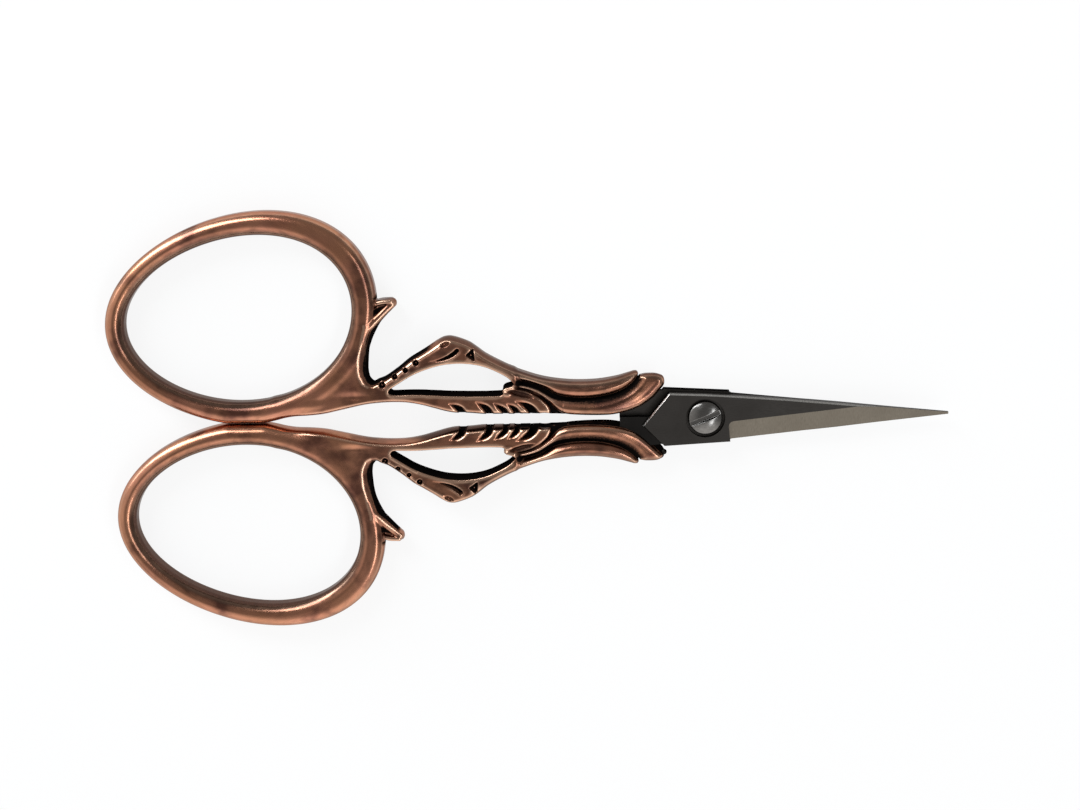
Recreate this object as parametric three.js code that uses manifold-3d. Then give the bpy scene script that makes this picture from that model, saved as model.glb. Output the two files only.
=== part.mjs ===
// Embroidery scissors: two cast handles with ornamental shanks, two ground blades and a slotted pivot screw.
// Millimetres. X runs from the finger bows to the blade tips, Y across the closing plane, Z along the pivot.
// Both halves are one design. It is drawn with its handle at positive Y and its blade below the mating plane,
// and the front half is that drawing turned over about X.
import * as THREE from 'three';
import { mergeVertices } from 'three/addons/utils/BufferGeometryUtils.js';
import Module from 'manifold-3d';

const wasm = await Module();
wasm.setup();

// Finger bow: a leaning, egg-shaped ring of oval section
const BOW_OPENING_LENGTH = 31;
const BOW_OPENING_WIDTH = 22.9;
const BOW_EGG_RATIO = 0.106; // how much wider the front of the opening is than its back
const BOW_LEAN_RATIO = 0.131; // how far the bow leans towards the blades, to its height
const BOW_RING_WIDTH = 3.05;
const BOW_THICKNESS = 4.3;
const BOW_OPENING_BACK = 0.4; // middle of the opening behind the middle of the ring
const BOW_OPENING_DOWN = 0.2; // and nearer to the closing plane
const BOW_GAP = 0.3; // between the two closed bows
const BOW_REACH = 1.45; // how far the ring passes the root of the shank towards the pivot

// Shank: from the collar at the blade back to the root of the bow
const COLLAR_RADIUS = 5.8; // pivot axis to the tip of the inner petal
const SHANK_LENGTH = 40.2;
const SHANK_HEIGHT = 11.8; // closing plane to the peak of the arm
const SHANK_THICKNESS = 4.2;
const TIP_THICKNESS = 2.6; // of the petals at their tips

// Spur on the front of the bow
const SPUR_LENGTH = 2.65; // past the ring
const SPUR_THICKNESS = 3.6;
const SPUR_TIP_THICKNESS = 1.5;

// Feathered edge: slanted notches in the inner side of the shank
const NOTCH_STATIONS = [72.9, 64.4, 57.7, 53.7, 49.3]; // where each notch starts, % of the shank
const NOTCH_START_HEIGHT = 2.8; // above the closing plane
const NOTCH_RUN = 2.3; // along the shank, from start to mouth
const NOTCH_MOUTH_WIDTH = 1.1;
const NOTCH_START_WIDTH = 0.3;
const NOTCH_START_DEPTH = 0.5;
const NOTCH_MOUTH_DEPTH = 1.6;

// Blade
const BLADE_LENGTH = 33.35; // pivot axis to tip
const BLADE_THICKNESS = 1.4;
const BLADE_GAP = 0.1; // between the two mating faces
const SPINE_HEIGHT = 3.5; // pivot axis to the back of the blade
const SPINE_BULGE = 3.1; // control height of the curved back
const EDGE_HEIGHT = 3.2; // pivot axis to the cutting edge at the heel
const RICASSO_HEIGHT = 3.85; // pivot axis to the unground edge beside the collar
const HEEL_X = 3.4; // where the ground bevel starts
const HEEL_STEP = 0.15;
const TIP_WIDTH = 0.3;
const BEVEL_WIDTH = 2.65;
const BEVEL_CORNER_RADIUS = 0.9;
const EDGE_THICKNESS = 0.22;
const SPINE_CHAMFER = 0.22;

// Pivot pad: the five-sided end of the blade, and the thinner tang behind it
const PAD_SPINE_CORNER_BACK = 4.9; // behind the pivot axis
const PAD_EDGE_CORNER_INSET = 0.2; // forward of the collar
const PAD_POINT_BACK = 2.8; // behind the collar
const PAD_POINT_HEIGHT = 1.0;
const TANG_THICKNESS = 0.9;
const TANG_WIDTH = 1.1;
const TANG_KEY_WIDTH = 1.5; // flared end that locks the tang in the casting
const TANG_GAP = 0.2;
const ROOT_SLANT_LENGTH = 0.75; // of the end of the root plate, which shows between the closed handles
const ROOT_OVERHANG = 0.2; // root plate past the closing plane

// Pivot screw
const SCREW_RADIUS = 1.5;
const SCREW_HEAD_RADIUS = 2.3;
const SCREW_RIM = 0.45; // straight side of the head
const SCREW_DOME = 0.65;
const SLOT_WIDTH = 0.8;
const SLOT_DEPTH = 0.6;
const SLOT_ANGLE = THREE.MathUtils.degToRad(22);
const COUNTERBORE_CLEARANCE = 0.4; // round the head
const COUNTERBORE_DEPTH = 0.6;
const SCREW_CLEARANCE = 0.06;

// Fullness of the cast sections, as the exponent of a superellipse: 1 is an ellipse, less is squarer
const BOW_FULLNESS = 0.85;
const SHANK_FULLNESS = 0.65;

// Facets
const BOW_STEPS = 64;
const SECTION_SIDES = 12;
const STEPS_PER_STATION = 2;
const ROUND_SIDES = 48;
const ARC_STEPS = 6;

// Stations of the shank's members, from the bow to the collar. Each has a point on its outer edge and one on
// its inner edge: [% of the shank's length behind the collar, % of its height above the closing plane]. The
// last number is the share of the full thickness, or null at a tip.
const ARM = [
  [[102, 41.5], [100, 27], 0.95],
  [[97.3, 48.5], [94, 34.5], 1],
  [[90.8, 64], [88.3, 48.5], 1],
  [[84.1, 82], [82.1, 60], 1],
  [[77.6, 96], [75.9, 67], 1],
  [[73.1, 100], [71.4, 69], 1],
  [[67.7, 95.5], [67.2, 69], 1],
  [[62.7, 82.5], [62.7, 67.5], 1],
  [[55.7, 68.5], [56.7, 59.5], 1],
  [[47.8, 57], [50, 42.5], 1],
  [[40.3, 49], [41, 32], 1],
  [[31.6, 45], [32.3, 26.5], 1],
  [[22.9, 45], [23.4, 25.5], 1],
  [[16.2, 49], [15.4, 32], 0.95],
  [[11.9, 53], [10.9, 40.5], 0.82],
  [[9.5, 56], [8.2, 49], null],
];
const BAR = [
  [[131, 22], [131, 4], 0.85],
  [[117.4, 37.5], [118.7, 8], 0.97],
  [[106.2, 41.5], [107.5, 15.5], 1],
  [[96.3, 35.5], [97, 21], 1],
  [[88.8, 33], [88.8, 21.5], 0.97],
  [[80.1, 32], [80.1, 17.5], 0.97],
  [[72.6, 31.5], [73.1, 11], 1],
  [[63.9, 30.5], [63.9, 8], 1],
  [[55.2, 32], [55.2, 7], 1],
  [[48.3, 33], [46.8, 6.5], 1],
  [[42.3, 28], [40.3, 7], 0.97],
  [[38.8, 17], [37.8, 8.5], null],
];
const PETAL = [
  [[50.2, 39], [46.5, 22], 0.85],
  [[41.5, 31.5], [39.1, 12], 0.95],
  [[32.8, 29], [31.6, 6.5], 1],
  [[24.1, 28], [22.9, 6], 1],
  [[16.7, 32], [14.9, 9.5], 1],
  [[11.2, 40.5], [8.7, 19], 1],
  [[8, 47.5], [4.5, 30.5], 1],
  [[5.5, 50], [1.5, 41.5], 0.85],
  [[3, 51.8], [0, 44.8], null],
];
// The web that joins the ring to the shank, from the spur down to the bar
const WEB = [
  [[97.3, 118.5], [104, 118.5], 0.9],
  [[98.4, 93], [106, 91.5], 0.95],
  [[99, 69.5], [110.7, 68], 1],
  [[99, 56], [114.9, 47.5], 1],
  [[98, 47.5], [117.4, 22], 1],
  [[96.5, 39], [113.7, 16], 0.95],
];
// The spur's stations, in % of its length: [forward of the ring, above the bow's middle].
const SPUR = [
  [[-62, 44], [-69, -153], 1],
  [[-15, 58], [-11, -95], 0.95],
  [[33, 78], [25, -29], 0.82],
  [[69, 91], [65, 18], 0.62],
  [[100, 89], [98, 51], null],
];

const handleMaterial = new THREE.MeshStandardMaterial({ color: 0x9c6547, roughness: 0.36, metalness: 1 });
const bladeMaterial = new THREE.MeshStandardMaterial({ color: 0x3a3733, roughness: 0.42, metalness: 1 });
const screwMaterial = new THREE.MeshStandardMaterial({ color: 0xb8b5ae, roughness: 0.22, metalness: 1 });

// Solids and booleans

function solidOf(geometry) {
  const bare = geometry.clone();
  bare.deleteAttribute('normal');
  bare.deleteAttribute('uv');
  const merged = mergeVertices(bare, 1e-4);
  return new wasm.Manifold(new wasm.Mesh({
    numProp: 3,
    vertProperties: new Float32Array(merged.attributes.position.array),
    triVerts: new Uint32Array(merged.index.array),
  }));
}

function geometryOf(solid) {
  const { vertProperties, triVerts } = solid.getMesh();
  const geometry = new THREE.BufferGeometry();
  geometry.setAttribute('position', new THREE.BufferAttribute(new Float32Array(vertProperties), 3));
  geometry.setIndex(new THREE.BufferAttribute(new Uint32Array(triVerts), 1));
  geometry.computeVertexNormals();
  return geometry;
}

// A skin over rings of points, one ring after the other: closed on itself, or capped at both ends.
function loft(rings, closed) {
  const sides = rings[0].length;
  const points = rings.flat();
  const faces = [];
  const spans = closed ? rings.length : rings.length - 1;
  for (let i = 0; i < spans; i++) {
    const here = i * sides;
    const next = ((i + 1) % rings.length) * sides;
    for (let k = 0; k < sides; k++) {
      const after = (k + 1) % sides;
      faces.push(here + k, here + after, next + after, here + k, next + after, next + k);
    }
  }
  if (!closed) {
    const last = (rings.length - 1) * sides;
    for (let k = 1; k < sides - 1; k++) {
      faces.push(0, k + 1, k, last, last + k, last + k + 1);
    }
  }
  const geometry = new THREE.BufferGeometry().setFromPoints(points);
  geometry.setIndex(faces);
  return solidOf(geometry);
}

// A flat-topped oval between two edge points, as a ring of points.
function ovalSection(outer, inner, thickness, fullness) {
  const middle = outer.clone().add(inner).multiplyScalar(0.5);
  const reach = outer.clone().sub(inner).multiplyScalar(0.5);
  const crest = Math.cos(Math.PI / SECTION_SIDES) ** fullness;
  const ring = [];
  for (let k = 0; k < SECTION_SIDES; k++) {
    const angle = ((k + 0.5) * 2 * Math.PI) / SECTION_SIDES;
    const across = Math.sign(Math.cos(angle)) * Math.abs(Math.cos(angle)) ** fullness;
    const up = Math.sign(Math.sin(angle)) * Math.abs(Math.sin(angle)) ** fullness;
    const height = ((up / crest) * thickness) / 2;
    ring.push(new THREE.Vector3(middle.x + across * reach.x, middle.y + across * reach.y, height));
  }
  return ring;
}

// A member of the casting: oval sections along two smooth edges.
function member(stations, place, thickness, tipThickness) {
  const line = (side) => new THREE.CatmullRomCurve3(stations.map((station) => place(...station[side])));
  const outer = line(0);
  const inner = line(1);
  const thicknessAt = (i) => (stations[i][2] === null ? tipThickness : stations[i][2] * thickness);
  const spans = stations.length - 1;
  const rings = [];
  for (let i = 0; i <= spans * STEPS_PER_STATION; i++) {
    const position = i / STEPS_PER_STATION;
    const before = Math.min(Math.floor(position), spans - 1);
    const here = THREE.MathUtils.lerp(thicknessAt(before), thicknessAt(before + 1), position - before);
    const [top, bottom] = [outer, inner].map((edge) => edge.getPoint(position / spans));
    rings.push(ovalSection(top, bottom, here, SHANK_FULLNESS));
  }
  return loft(rings, false);
}

function union(solids) {
  return solids.reduce((all, next) => all.add(next));
}

// A plan outline raised between two heights.
function prism(points, low, high) {
  const geometry = new THREE.ExtrudeGeometry(new THREE.Shape(points), {
    depth: high - low,
    bevelEnabled: false,
  });
  return solidOf(geometry.translate(0, 0, low));
}

function cylinder(radius, low, high) {
  const geometry = new THREE.CylinderGeometry(radius, radius, high - low, ROUND_SIDES);
  geometry.rotateX(Math.PI / 2);
  return solidOf(geometry.translate(0, 0, (low + high) / 2));
}

// Places on the half

function onShank(back, up) {
  return new THREE.Vector3(-COLLAR_RADIUS - (back / 100) * SHANK_LENGTH, (up / 100) * SHANK_HEIGHT, 0);
}

// The egg-shaped line that lies a distance outside the finger opening, about its own middle.
function eggPoint(angle, outside) {
  const length = BOW_OPENING_LENGTH / 2 + outside;
  const width = BOW_OPENING_WIDTH / 2 + outside;
  const y = width * Math.sin(angle) * (1 + BOW_EGG_RATIO * Math.cos(angle));
  return new THREE.Vector3(length * Math.cos(angle) + BOW_LEAN_RATIO * y, y, 0);
}

function eggLine(outside) {
  const line = [];
  for (let i = 0; i < BOW_STEPS; i++) {
    line.push(eggPoint((-i * 2 * Math.PI) / BOW_STEPS, outside));
  }
  return line;
}

// The bow rests against the closing plane, and its ring passes the root of the shank.
const bowOutline = new THREE.Box3().setFromPoints(eggLine(BOW_RING_WIDTH));
const bowFront = onShank(100, 0).x + BOW_REACH;
const ringMiddle = new THREE.Vector3(bowFront - bowOutline.max.x, BOW_GAP / 2 - bowOutline.min.y, 0);
const openingMiddle = ringMiddle.clone().sub(new THREE.Vector3(BOW_OPENING_BACK, BOW_OPENING_DOWN, 0));

function onBowFront(forward, up) {
  const reach = SPUR_LENGTH / 100;
  return new THREE.Vector3(bowFront + forward * reach, openingMiddle.y + up * reach, 0);
}

// Handle

function bow() {
  const inner = eggLine(0);
  const outer = eggLine(BOW_RING_WIDTH);
  const rings = outer.map((point, i) =>
    ovalSection(point.add(ringMiddle), inner[i].add(openingMiddle), BOW_THICKNESS, BOW_FULLNESS));
  return loft(rings, true);
}

// One slanted groove that deepens from its start to its mouth, on the upper or the lower face.
function notch(percent, side) {
  const start = onShank(percent, 0).setY(NOTCH_START_HEIGHT);
  const mouth = start.clone().add(new THREE.Vector3(NOTCH_RUN, -NOTCH_START_HEIGHT, 0));
  const face = SHANK_THICKNESS / 2;
  const section = (at, width, floor) => {
    const [low, high] = [side * floor, side * 2 * face].sort((a, b) => a - b);
    return [
      new THREE.Vector3(at.x + width / 2, at.y, low),
      new THREE.Vector3(at.x + width / 2, at.y, high),
      new THREE.Vector3(at.x - width / 2, at.y, high),
      new THREE.Vector3(at.x - width / 2, at.y, low),
    ];
  };
  return loft([
    section(start, NOTCH_START_WIDTH, face - NOTCH_START_DEPTH),
    section(mouth, NOTCH_MOUTH_WIDTH, face - NOTCH_MOUTH_DEPTH),
  ], false);
}

function handle() {
  const body = union([
    bow(),
    member(WEB, onShank, SHANK_THICKNESS, TIP_THICKNESS),
    member(BAR, onShank, SHANK_THICKNESS, TIP_THICKNESS),
    member(ARM, onShank, SHANK_THICKNESS, TIP_THICKNESS),
    member(PETAL, onShank, SHANK_THICKNESS, TIP_THICKNESS),
    member(SPUR, onBowFront, SPUR_THICKNESS, SPUR_TIP_THICKNESS),
  ]);
  const notches = NOTCH_STATIONS.flatMap((percent) => [notch(percent, 1), notch(percent, -1)]);
  return body.subtract(union(notches)).subtract(tang(TANG_GAP));
}

// Blade

const matingFace = -BLADE_GAP / 2;
const outerFace = matingFace - BLADE_THICKNESS;
const heel = new THREE.Vector2(HEEL_X, EDGE_HEIGHT);
const bladeTip = new THREE.Vector2(BLADE_LENGTH, 0);
const padPoint = new THREE.Vector2(-COLLAR_RADIUS - PAD_POINT_BACK, PAD_POINT_HEIGHT);
const padSpineCorner = new THREE.Vector2(-PAD_SPINE_CORNER_BACK, -SPINE_HEIGHT);
const padEdgeCorner = new THREE.Vector2(PAD_EDGE_CORNER_INSET - COLLAR_RADIUS, RICASSO_HEIGHT);

function bladeOutline() {
  const shape = new THREE.Shape();
  shape.moveTo(padPoint.x, padPoint.y);
  shape.lineTo(padSpineCorner.x, padSpineCorner.y);
  shape.quadraticCurveTo(BLADE_LENGTH / 4, -SPINE_BULGE, BLADE_LENGTH, -TIP_WIDTH / 2);
  shape.lineTo(BLADE_LENGTH, TIP_WIDTH / 2);
  shape.lineTo(heel.x + 2 * HEEL_STEP, heel.y);
  shape.lineTo(heel.x, heel.y + HEEL_STEP);
  shape.lineTo(padEdgeCorner.x, padEdgeCorner.y);
  return shape.getPoints(2 * ARC_STEPS);
}

// The blank: its outline, with a small chamfer along the back and the pad on the outer face.
function blank() {
  const outline = bladeOutline();
  const chamfered = outline.map((point) => {
    const onPad = point.equals(padPoint) ? SPINE_CHAMFER : 0;
    const onBack = Math.min(point.y + SPINE_CHAMFER, Math.max(point.y, -TIP_WIDTH / 2));
    return new THREE.Vector2(point.x + onPad, onBack);
  });
  const level = (points, height) => points.map(({ x, y }) => new THREE.Vector3(x, y, height));
  return loft([
    level(chamfered, outerFace),
    level(outline, outerFace + SPINE_CHAMFER),
    level(outline, matingFace),
  ], false);
}

// What the grinding takes off: a wedge that slopes from the bevel line down to the cutting edge, kept to the
// ground part of the plan, which is rounded at the heel.
function grinding() {
  const along = bladeTip.clone().sub(heel).normalize();
  const inward = new THREE.Vector2(along.y, -along.x);
  const spare = 2 * BEVEL_WIDTH; // past the edge, the tip and the outer face
  const length = BLADE_LENGTH - HEEL_X + spare;
  const floor = outerFace - spare;
  const slope = (BLADE_THICKNESS - EDGE_THICKNESS) / BEVEL_WIDTH;
  const at = (run, depth) => heel.clone().addScaledVector(along, run).addScaledVector(inward, depth);
  const corner = (run, depth, level) => new THREE.Vector3(at(run, depth).x, at(run, depth).y, level);
  const section = (run) => [
    corner(run, -spare, floor),
    corner(run, -spare, outerFace + slope * (BEVEL_WIDTH + spare)),
    corner(run, BEVEL_WIDTH, outerFace),
    corner(run, BEVEL_WIDTH, floor),
  ];
  const wedge = loft([section(0), section(length)], false);
  const rounding = new THREE.QuadraticBezierCurve(
    at(0, BEVEL_WIDTH - BEVEL_CORNER_RADIUS),
    at(0, BEVEL_WIDTH),
    at(BEVEL_CORNER_RADIUS, BEVEL_WIDTH),
  );
  const heelSide = [at(0, -spare), ...rounding.getPoints(ARC_STEPS)];
  const tipSide = [at(length, BEVEL_WIDTH), at(length, -spare)];
  return wedge.intersect(prism([...heelSide, ...tipSide], floor, 0));
}

// The tang: a root plate behind the pad, and a flared finger inside the petal. Grown, it is the socket.
function tang(grow) {
  const midway = ([outer, inner]) => onShank(...outer).lerp(onShank(...inner), 0.5);
  const [end, neck, bend, mouth] = PETAL.slice(2, 6).map(midway);
  const half = TANG_WIDTH / 2 + grow;
  const key = TANG_KEY_WIDTH / 2 + grow;
  const plan = [
    [padEdgeCorner.x, 0],
    [padEdgeCorner.x, padEdgeCorner.y - SPINE_CHAMFER + grow],
    [mouth.x, mouth.y + half],
    [bend.x, bend.y + half],
    [neck.x, neck.y + half],
    [end.x - grow, end.y + key],
    [end.x - grow, end.y - key],
    [neck.x, neck.y - half],
    [bend.x - grow, bend.y - half],
    [bend.x - ROOT_SLANT_LENGTH - grow, -ROOT_OVERHANG - grow],
    [padPoint.x, -ROOT_OVERHANG - grow],
  ].map(([x, y]) => new THREE.Vector2(x, y));
  return prism(plan, matingFace - TANG_THICKNESS - grow, matingFace + grow);
}

function blade() {
  const bore = cylinder(SCREW_RADIUS + SCREW_CLEARANCE, 2 * outerFace, BLADE_THICKNESS);
  return blank().subtract(grinding()).add(tang(0)).subtract(bore);
}

function headSeat() {
  return cylinder(SCREW_HEAD_RADIUS + COUNTERBORE_CLEARANCE, 2 * outerFace, outerFace + COUNTERBORE_DEPTH);
}

// Pivot screw: its end is flush with the rear blade, and its head sits in the front blade's counterbore.

function screw() {
  const seat = -outerFace - COUNTERBORE_DEPTH + BLADE_GAP;
  const rim = seat + SCREW_RIM;
  const profile = [
    new THREE.Vector2(0, outerFace),
    new THREE.Vector2(SCREW_RADIUS, outerFace),
    new THREE.Vector2(SCREW_RADIUS, seat),
    new THREE.Vector2(SCREW_HEAD_RADIUS, seat),
  ];
  for (let i = 0; i < ARC_STEPS; i++) {
    const angle = (i / ARC_STEPS) * (Math.PI / 2);
    profile.push(new THREE.Vector2(SCREW_HEAD_RADIUS * Math.cos(angle), rim + SCREW_DOME * Math.sin(angle)));
  }
  profile.push(new THREE.Vector2(0, rim + SCREW_DOME));
  const turned = new THREE.LatheGeometry(profile, ROUND_SIDES).rotateX(Math.PI / 2);
  const slot = new THREE.BoxGeometry(4 * SCREW_HEAD_RADIUS, SLOT_WIDTH, 2 * SLOT_DEPTH);
  slot.rotateZ(SLOT_ANGLE).translate(0, 0, rim + SCREW_DOME);
  return solidOf(turned).subtract(solidOf(slot));
}

// Assembly

function piece(name, solid, material) {
  const mesh = new THREE.Mesh(geometryOf(solid), material);
  mesh.name = name;
  return mesh;
}

const casting = handle();
const threadedBlade = blade();
const runningBlade = threadedBlade.subtract(headSeat());

const rearHalf = new THREE.Group();
rearHalf.add(piece('rear_handle', casting, handleMaterial));
rearHalf.add(piece('rear_blade', threadedBlade, bladeMaterial));

const frontHalf = new THREE.Group();
frontHalf.add(piece('front_handle', casting, handleMaterial));
frontHalf.add(piece('front_blade', runningBlade, bladeMaterial));
frontHalf.rotation.x = Math.PI;

const scissors = new THREE.Group();
scissors.add(rearHalf, frontHalf, piece('pivot_screw', screw(), screwMaterial));

// The origin is on the surface that the scissors lie on, under the middle of their outline.
const extent = new THREE.Box3().setFromObject(scissors);
const middle = extent.getCenter(new THREE.Vector3());
scissors.position.set(-middle.x, -middle.y, -extent.min.z);

export default scissors;
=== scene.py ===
# Embroidery scissors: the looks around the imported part.
# Shapes are drawn in millimetres about the pivot, with the handle of the rear half at positive Y, and are put
# into the row frame, in metres, when a mesh is made. The front half is the same drawing turned over about X.
import math

import bmesh
import bpy
import numpy as np
from mathutils import Matrix, Vector


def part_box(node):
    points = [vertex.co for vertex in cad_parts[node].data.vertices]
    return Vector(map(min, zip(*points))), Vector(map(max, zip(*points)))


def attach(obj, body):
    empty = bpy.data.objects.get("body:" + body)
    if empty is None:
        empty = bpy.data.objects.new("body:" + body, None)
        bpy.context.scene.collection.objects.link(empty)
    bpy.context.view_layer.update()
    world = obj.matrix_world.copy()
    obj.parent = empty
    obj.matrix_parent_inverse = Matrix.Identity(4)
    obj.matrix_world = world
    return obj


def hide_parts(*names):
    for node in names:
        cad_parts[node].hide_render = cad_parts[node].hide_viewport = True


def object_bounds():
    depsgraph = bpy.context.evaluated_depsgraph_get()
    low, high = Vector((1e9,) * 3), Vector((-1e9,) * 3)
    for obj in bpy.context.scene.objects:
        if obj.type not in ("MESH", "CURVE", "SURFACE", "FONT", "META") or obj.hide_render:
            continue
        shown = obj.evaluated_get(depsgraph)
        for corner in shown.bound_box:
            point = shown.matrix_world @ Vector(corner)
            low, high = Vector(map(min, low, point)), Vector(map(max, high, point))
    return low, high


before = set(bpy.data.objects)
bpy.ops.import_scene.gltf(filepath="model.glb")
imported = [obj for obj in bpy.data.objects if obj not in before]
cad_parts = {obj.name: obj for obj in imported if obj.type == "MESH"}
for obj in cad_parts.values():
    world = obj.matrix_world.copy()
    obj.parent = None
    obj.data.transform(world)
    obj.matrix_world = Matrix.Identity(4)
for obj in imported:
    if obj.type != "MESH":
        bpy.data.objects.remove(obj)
cad_low, cad_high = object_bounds()

MM = 0.001

# The pivot in the row frame, in millimetres
screw_low, screw_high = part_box("pivot_screw")
PIVOT = np.array(
    [
        (screw_low[0] + screw_high[0]) / 2 / MM,
        (screw_low[1] + screw_high[1]) / 2 / MM,
        (cad_low[2] + cad_high[2]) / 2 / MM,
    ]
)

# Finger bow
RING_MIDDLE = (-63.217, 14.73)
OPENING_MIDDLE = (-63.617, 14.53)
BOW_HALF_LENGTH = 15.5
BOW_HALF_WIDTH = 11.45
BOW_EGG_RATIO = 0.106
BOW_LEAN_RATIO = 0.131
BOW_RING_WIDTH = 3.0
BOW_HALF_THICKNESS = 2.12
BOW_ROUNDING = 1.5
BOW_STEPS = 480
TOUCH_GAP = 0.06  # from the bow to the closing plane, where the two bows meet
TOUCH_WIDENING = 0.35
TOUCH_LENGTH = 6.0
TOUCH_ROUNDING = 0.05
JOINT_ROUNDING = 0.6  # between the bow and the shank
LOW_JOINT_ROUNDING = 0.8  # added to it on the side of the closing plane

# Shank
SHANK_HALF_THICKNESS = 2.1
FACE_SINK = 0.1
FACE_ROUNDING = 0.34
FACE_LIMIT = 2.13
LIMIT_ROUNDING = 0.06
PLATE_FADE = 1.1
WALL_BULGE = 0.5
WEB_BULGE = 1.5
ARM_BULGE = 0.5
LEAF_FLATNESS = 0.85
WINDOW_ROUNDING = 0.2
CUT_ROUNDING = 0.14

# Petals
PETAL_HALF_THICKNESS = 2.1
PETAL_TIP_HALF_THICKNESS = 1.35
OUTER_PETAL_ROUNDING = 1.4
OUTER_PETAL_BLEND = 0.35
INNER_PETAL_ROUNDING = 1.05
INNER_PETAL_BLEND = 0.15
GROOVE_SLOPE = 0.5
GROOVE_SLOPE_ROUNDING = 0.12
GROOVE_FLOOR = 0.75
GROOVE_FLOOR_INSET = 0.45
GROOVE_FLOOR_ROUNDING = 0.2
GROOVE_FLOOR_BLEND = 0.15
LEAF_FLOOR_ROUNDING = 0.3
LEAF_FLOOR_BLEND = 0.1
LAP_START = -19.5  # from here to its tip, the inner petal is fuller above the middle plane of the drawing

# Spur
RIDGE_HALF_THICKNESS = 2.0
RIDGE_LOWERING = 0.75
RIDGE_LOWERING_SHARE = (0.2, 1)
RIDGE_HALF_WIDTH = 0.6
RIDGE_NARROWING = 0.12
RIDGE_ROUNDING = 0.45
BRIM_HALF_WIDTH = 0.34
BRIM_HALF_THICKNESS = 1.35
BRIM_BLEND = 0.15
POCKET_HALF_THICKNESS = 0.75
POCKET_ROUNDING = 0.6
SPUR_BLEND = 0.2

# Front edges of the plate that the arm, the bar and the web share
BAR_EDGE = [
    (-59, 2.7), (-57.5, 2.1), (-56, 1.7), (-54.5, 1.48), (-52.5, 1.62), (-50, 2.15), (-47, 2.8),
    (-45, 3.05), (-43, 3.15), (-41, 3.08), (-39, 2.75), (-37, 2.2), (-35.5, 1.78), (-34.2, 1.55),
    (-32.4, 1.5), (-30.3, 1.32), (-28, 1.3), (-26.3, 1.27), (-24.6, 1.3), (-23, 1.22), (-21.7, 1.12),
]
LEAF_EDGE = [(-21.3, 1.1), (-21.25, 1.45), (-21.7, 2.3), (-22.8, 3.2), (-24.3, 3.8), (-26.0, 4.2)]
ARM_ROOT_EDGE = [(-26.1, 4.95), (-25.6, 5.3), (-26.3, 6.8)]
ARM_EDGE = [
    (-26.5, 6.85), (-27.5, 7.3), (-30, 8.65), (-31.5, 9.8), (-32.5, 10.5), (-34.3, 11.15), (-35.3, 11.2),
    (-36.2, 10.8), (-37.4, 10.0), (-38.7, 9.2), (-40.1, 8.35), (-41.6, 7.15), (-43.4, 5.9), (-44.6, 5.4),
]
GAP_EDGE = [(-45.2, 5.05), (-46.1, 5.07), (-46.75, 5.45), (-47.22, 6.32)]
WEB_EDGE = [(-47.4, 7.28), (-47.3, 8.35), (-47.03, 9.94), (-46.71, 11.53), (-46.35, 13), (-46.3, 13.6)]
WEB_BACK = [
    (-46.6, 13.4), (-47.1, 12.2), (-47.8, 10.4), (-48.9, 8.2), (-50.6, 6), (-53, 4.3), (-56, 3.2), (-59, 2.9),
]

WINDOW_TOP = [
    (-43.05, 4.75), (-41.5, 5.72), (-40, 6.6), (-38, 7.4), (-36, 7.95), (-34, 8.15), (-32, 8.05),
    (-30, 7.6), (-28, 6.7), (-27, 6.1), (-26.3, 5.45),
]
WINDOW_HOOK = [(-26.1, 5.2), (-26.6, 4.87), (-27.35, 4.65), (-27.72, 4.25), (-27.55, 3.88), (-28.0, 3.65)]
WINDOW_BOTTOM = [(-30, 3.6), (-32.5, 3.63), (-35, 3.7), (-37.5, 3.85), (-40, 3.95), (-42.9, 3.9)]
WINDOW_CORNER = [(-43.25, 4.15), (-43.3, 4.45)]

# Outlines half way through the thickness
OUTER_PETAL_ROOT = [(-33.2, 10.9), (-31.5, 10.15), (-30, 9.1), (-27.5, 7.75)]
OUTER_PETAL_TOP = [
    (-25, 6.73), (-22, 5.8), (-18.5, 5.31), (-15, 5.31), (-12.3, 5.72), (-10.6, 6.22), (-9.75, 6.5),
]
OUTER_PETAL_TIP = [(-9.35, 6.52), (-9.12, 6.25), (-9.2, 5.8)]
OUTER_PETAL_BOTTOM = [
    (-9.6, 5.05), (-11, 4.08), (-13, 3.4), (-15, 3.05), (-17, 2.97), (-19, 3.15), (-20.5, 3.55), (-22, 4.45),
    (-24, 5.25), (-25.3, 5.5), (-26.3, 5.6), (-27, 6.1), (-28, 6.7), (-30, 7.6), (-32, 8.05), (-33.2, 8.2),
]
INNER_PETAL_TOP = [
    (-25.6, 5.08), (-24.8, 5.0), (-23, 4.52), (-22, 3.97), (-21, 3.34), (-20, 2.92), (-18, 2.66),
    (-16.5, 2.7), (-15, 2.82), (-13, 3.15), (-11.3, 3.83), (-10.1, 4.62), (-9.35, 5.45), (-8.9, 5.92),
]
INNER_PETAL_TIP = [(-8.2, 6.08), (-7, 6.1), (-6.2, 5.9), (-5.8, 5.42), (-6.0, 5.08)]
PETAL_FOOT = [
    (-18.5, 0.79), (-19.8, 1.1), (-20.6, 1.7), (-21.25, 2.42), (-22.2, 3.22), (-23.2, 3.82), (-24.2, 4.3),
    (-25.6, 4.65),
]
INNER_PETAL_BOTTOM = [
    (-6.5, 4.55), (-7.6, 3.42), (-8.6, 2.56), (-9.6, 1.95), (-11.8, 1.12), (-15, 0.71), *PETAL_FOOT,
]
LAP_TIP = [(-8.2, 6.13), (-7, 6.14), (-6.2, 6.0), (-5.75, 5.75), (-5.56, 5.3), (-5.56, 4.7)]
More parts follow.
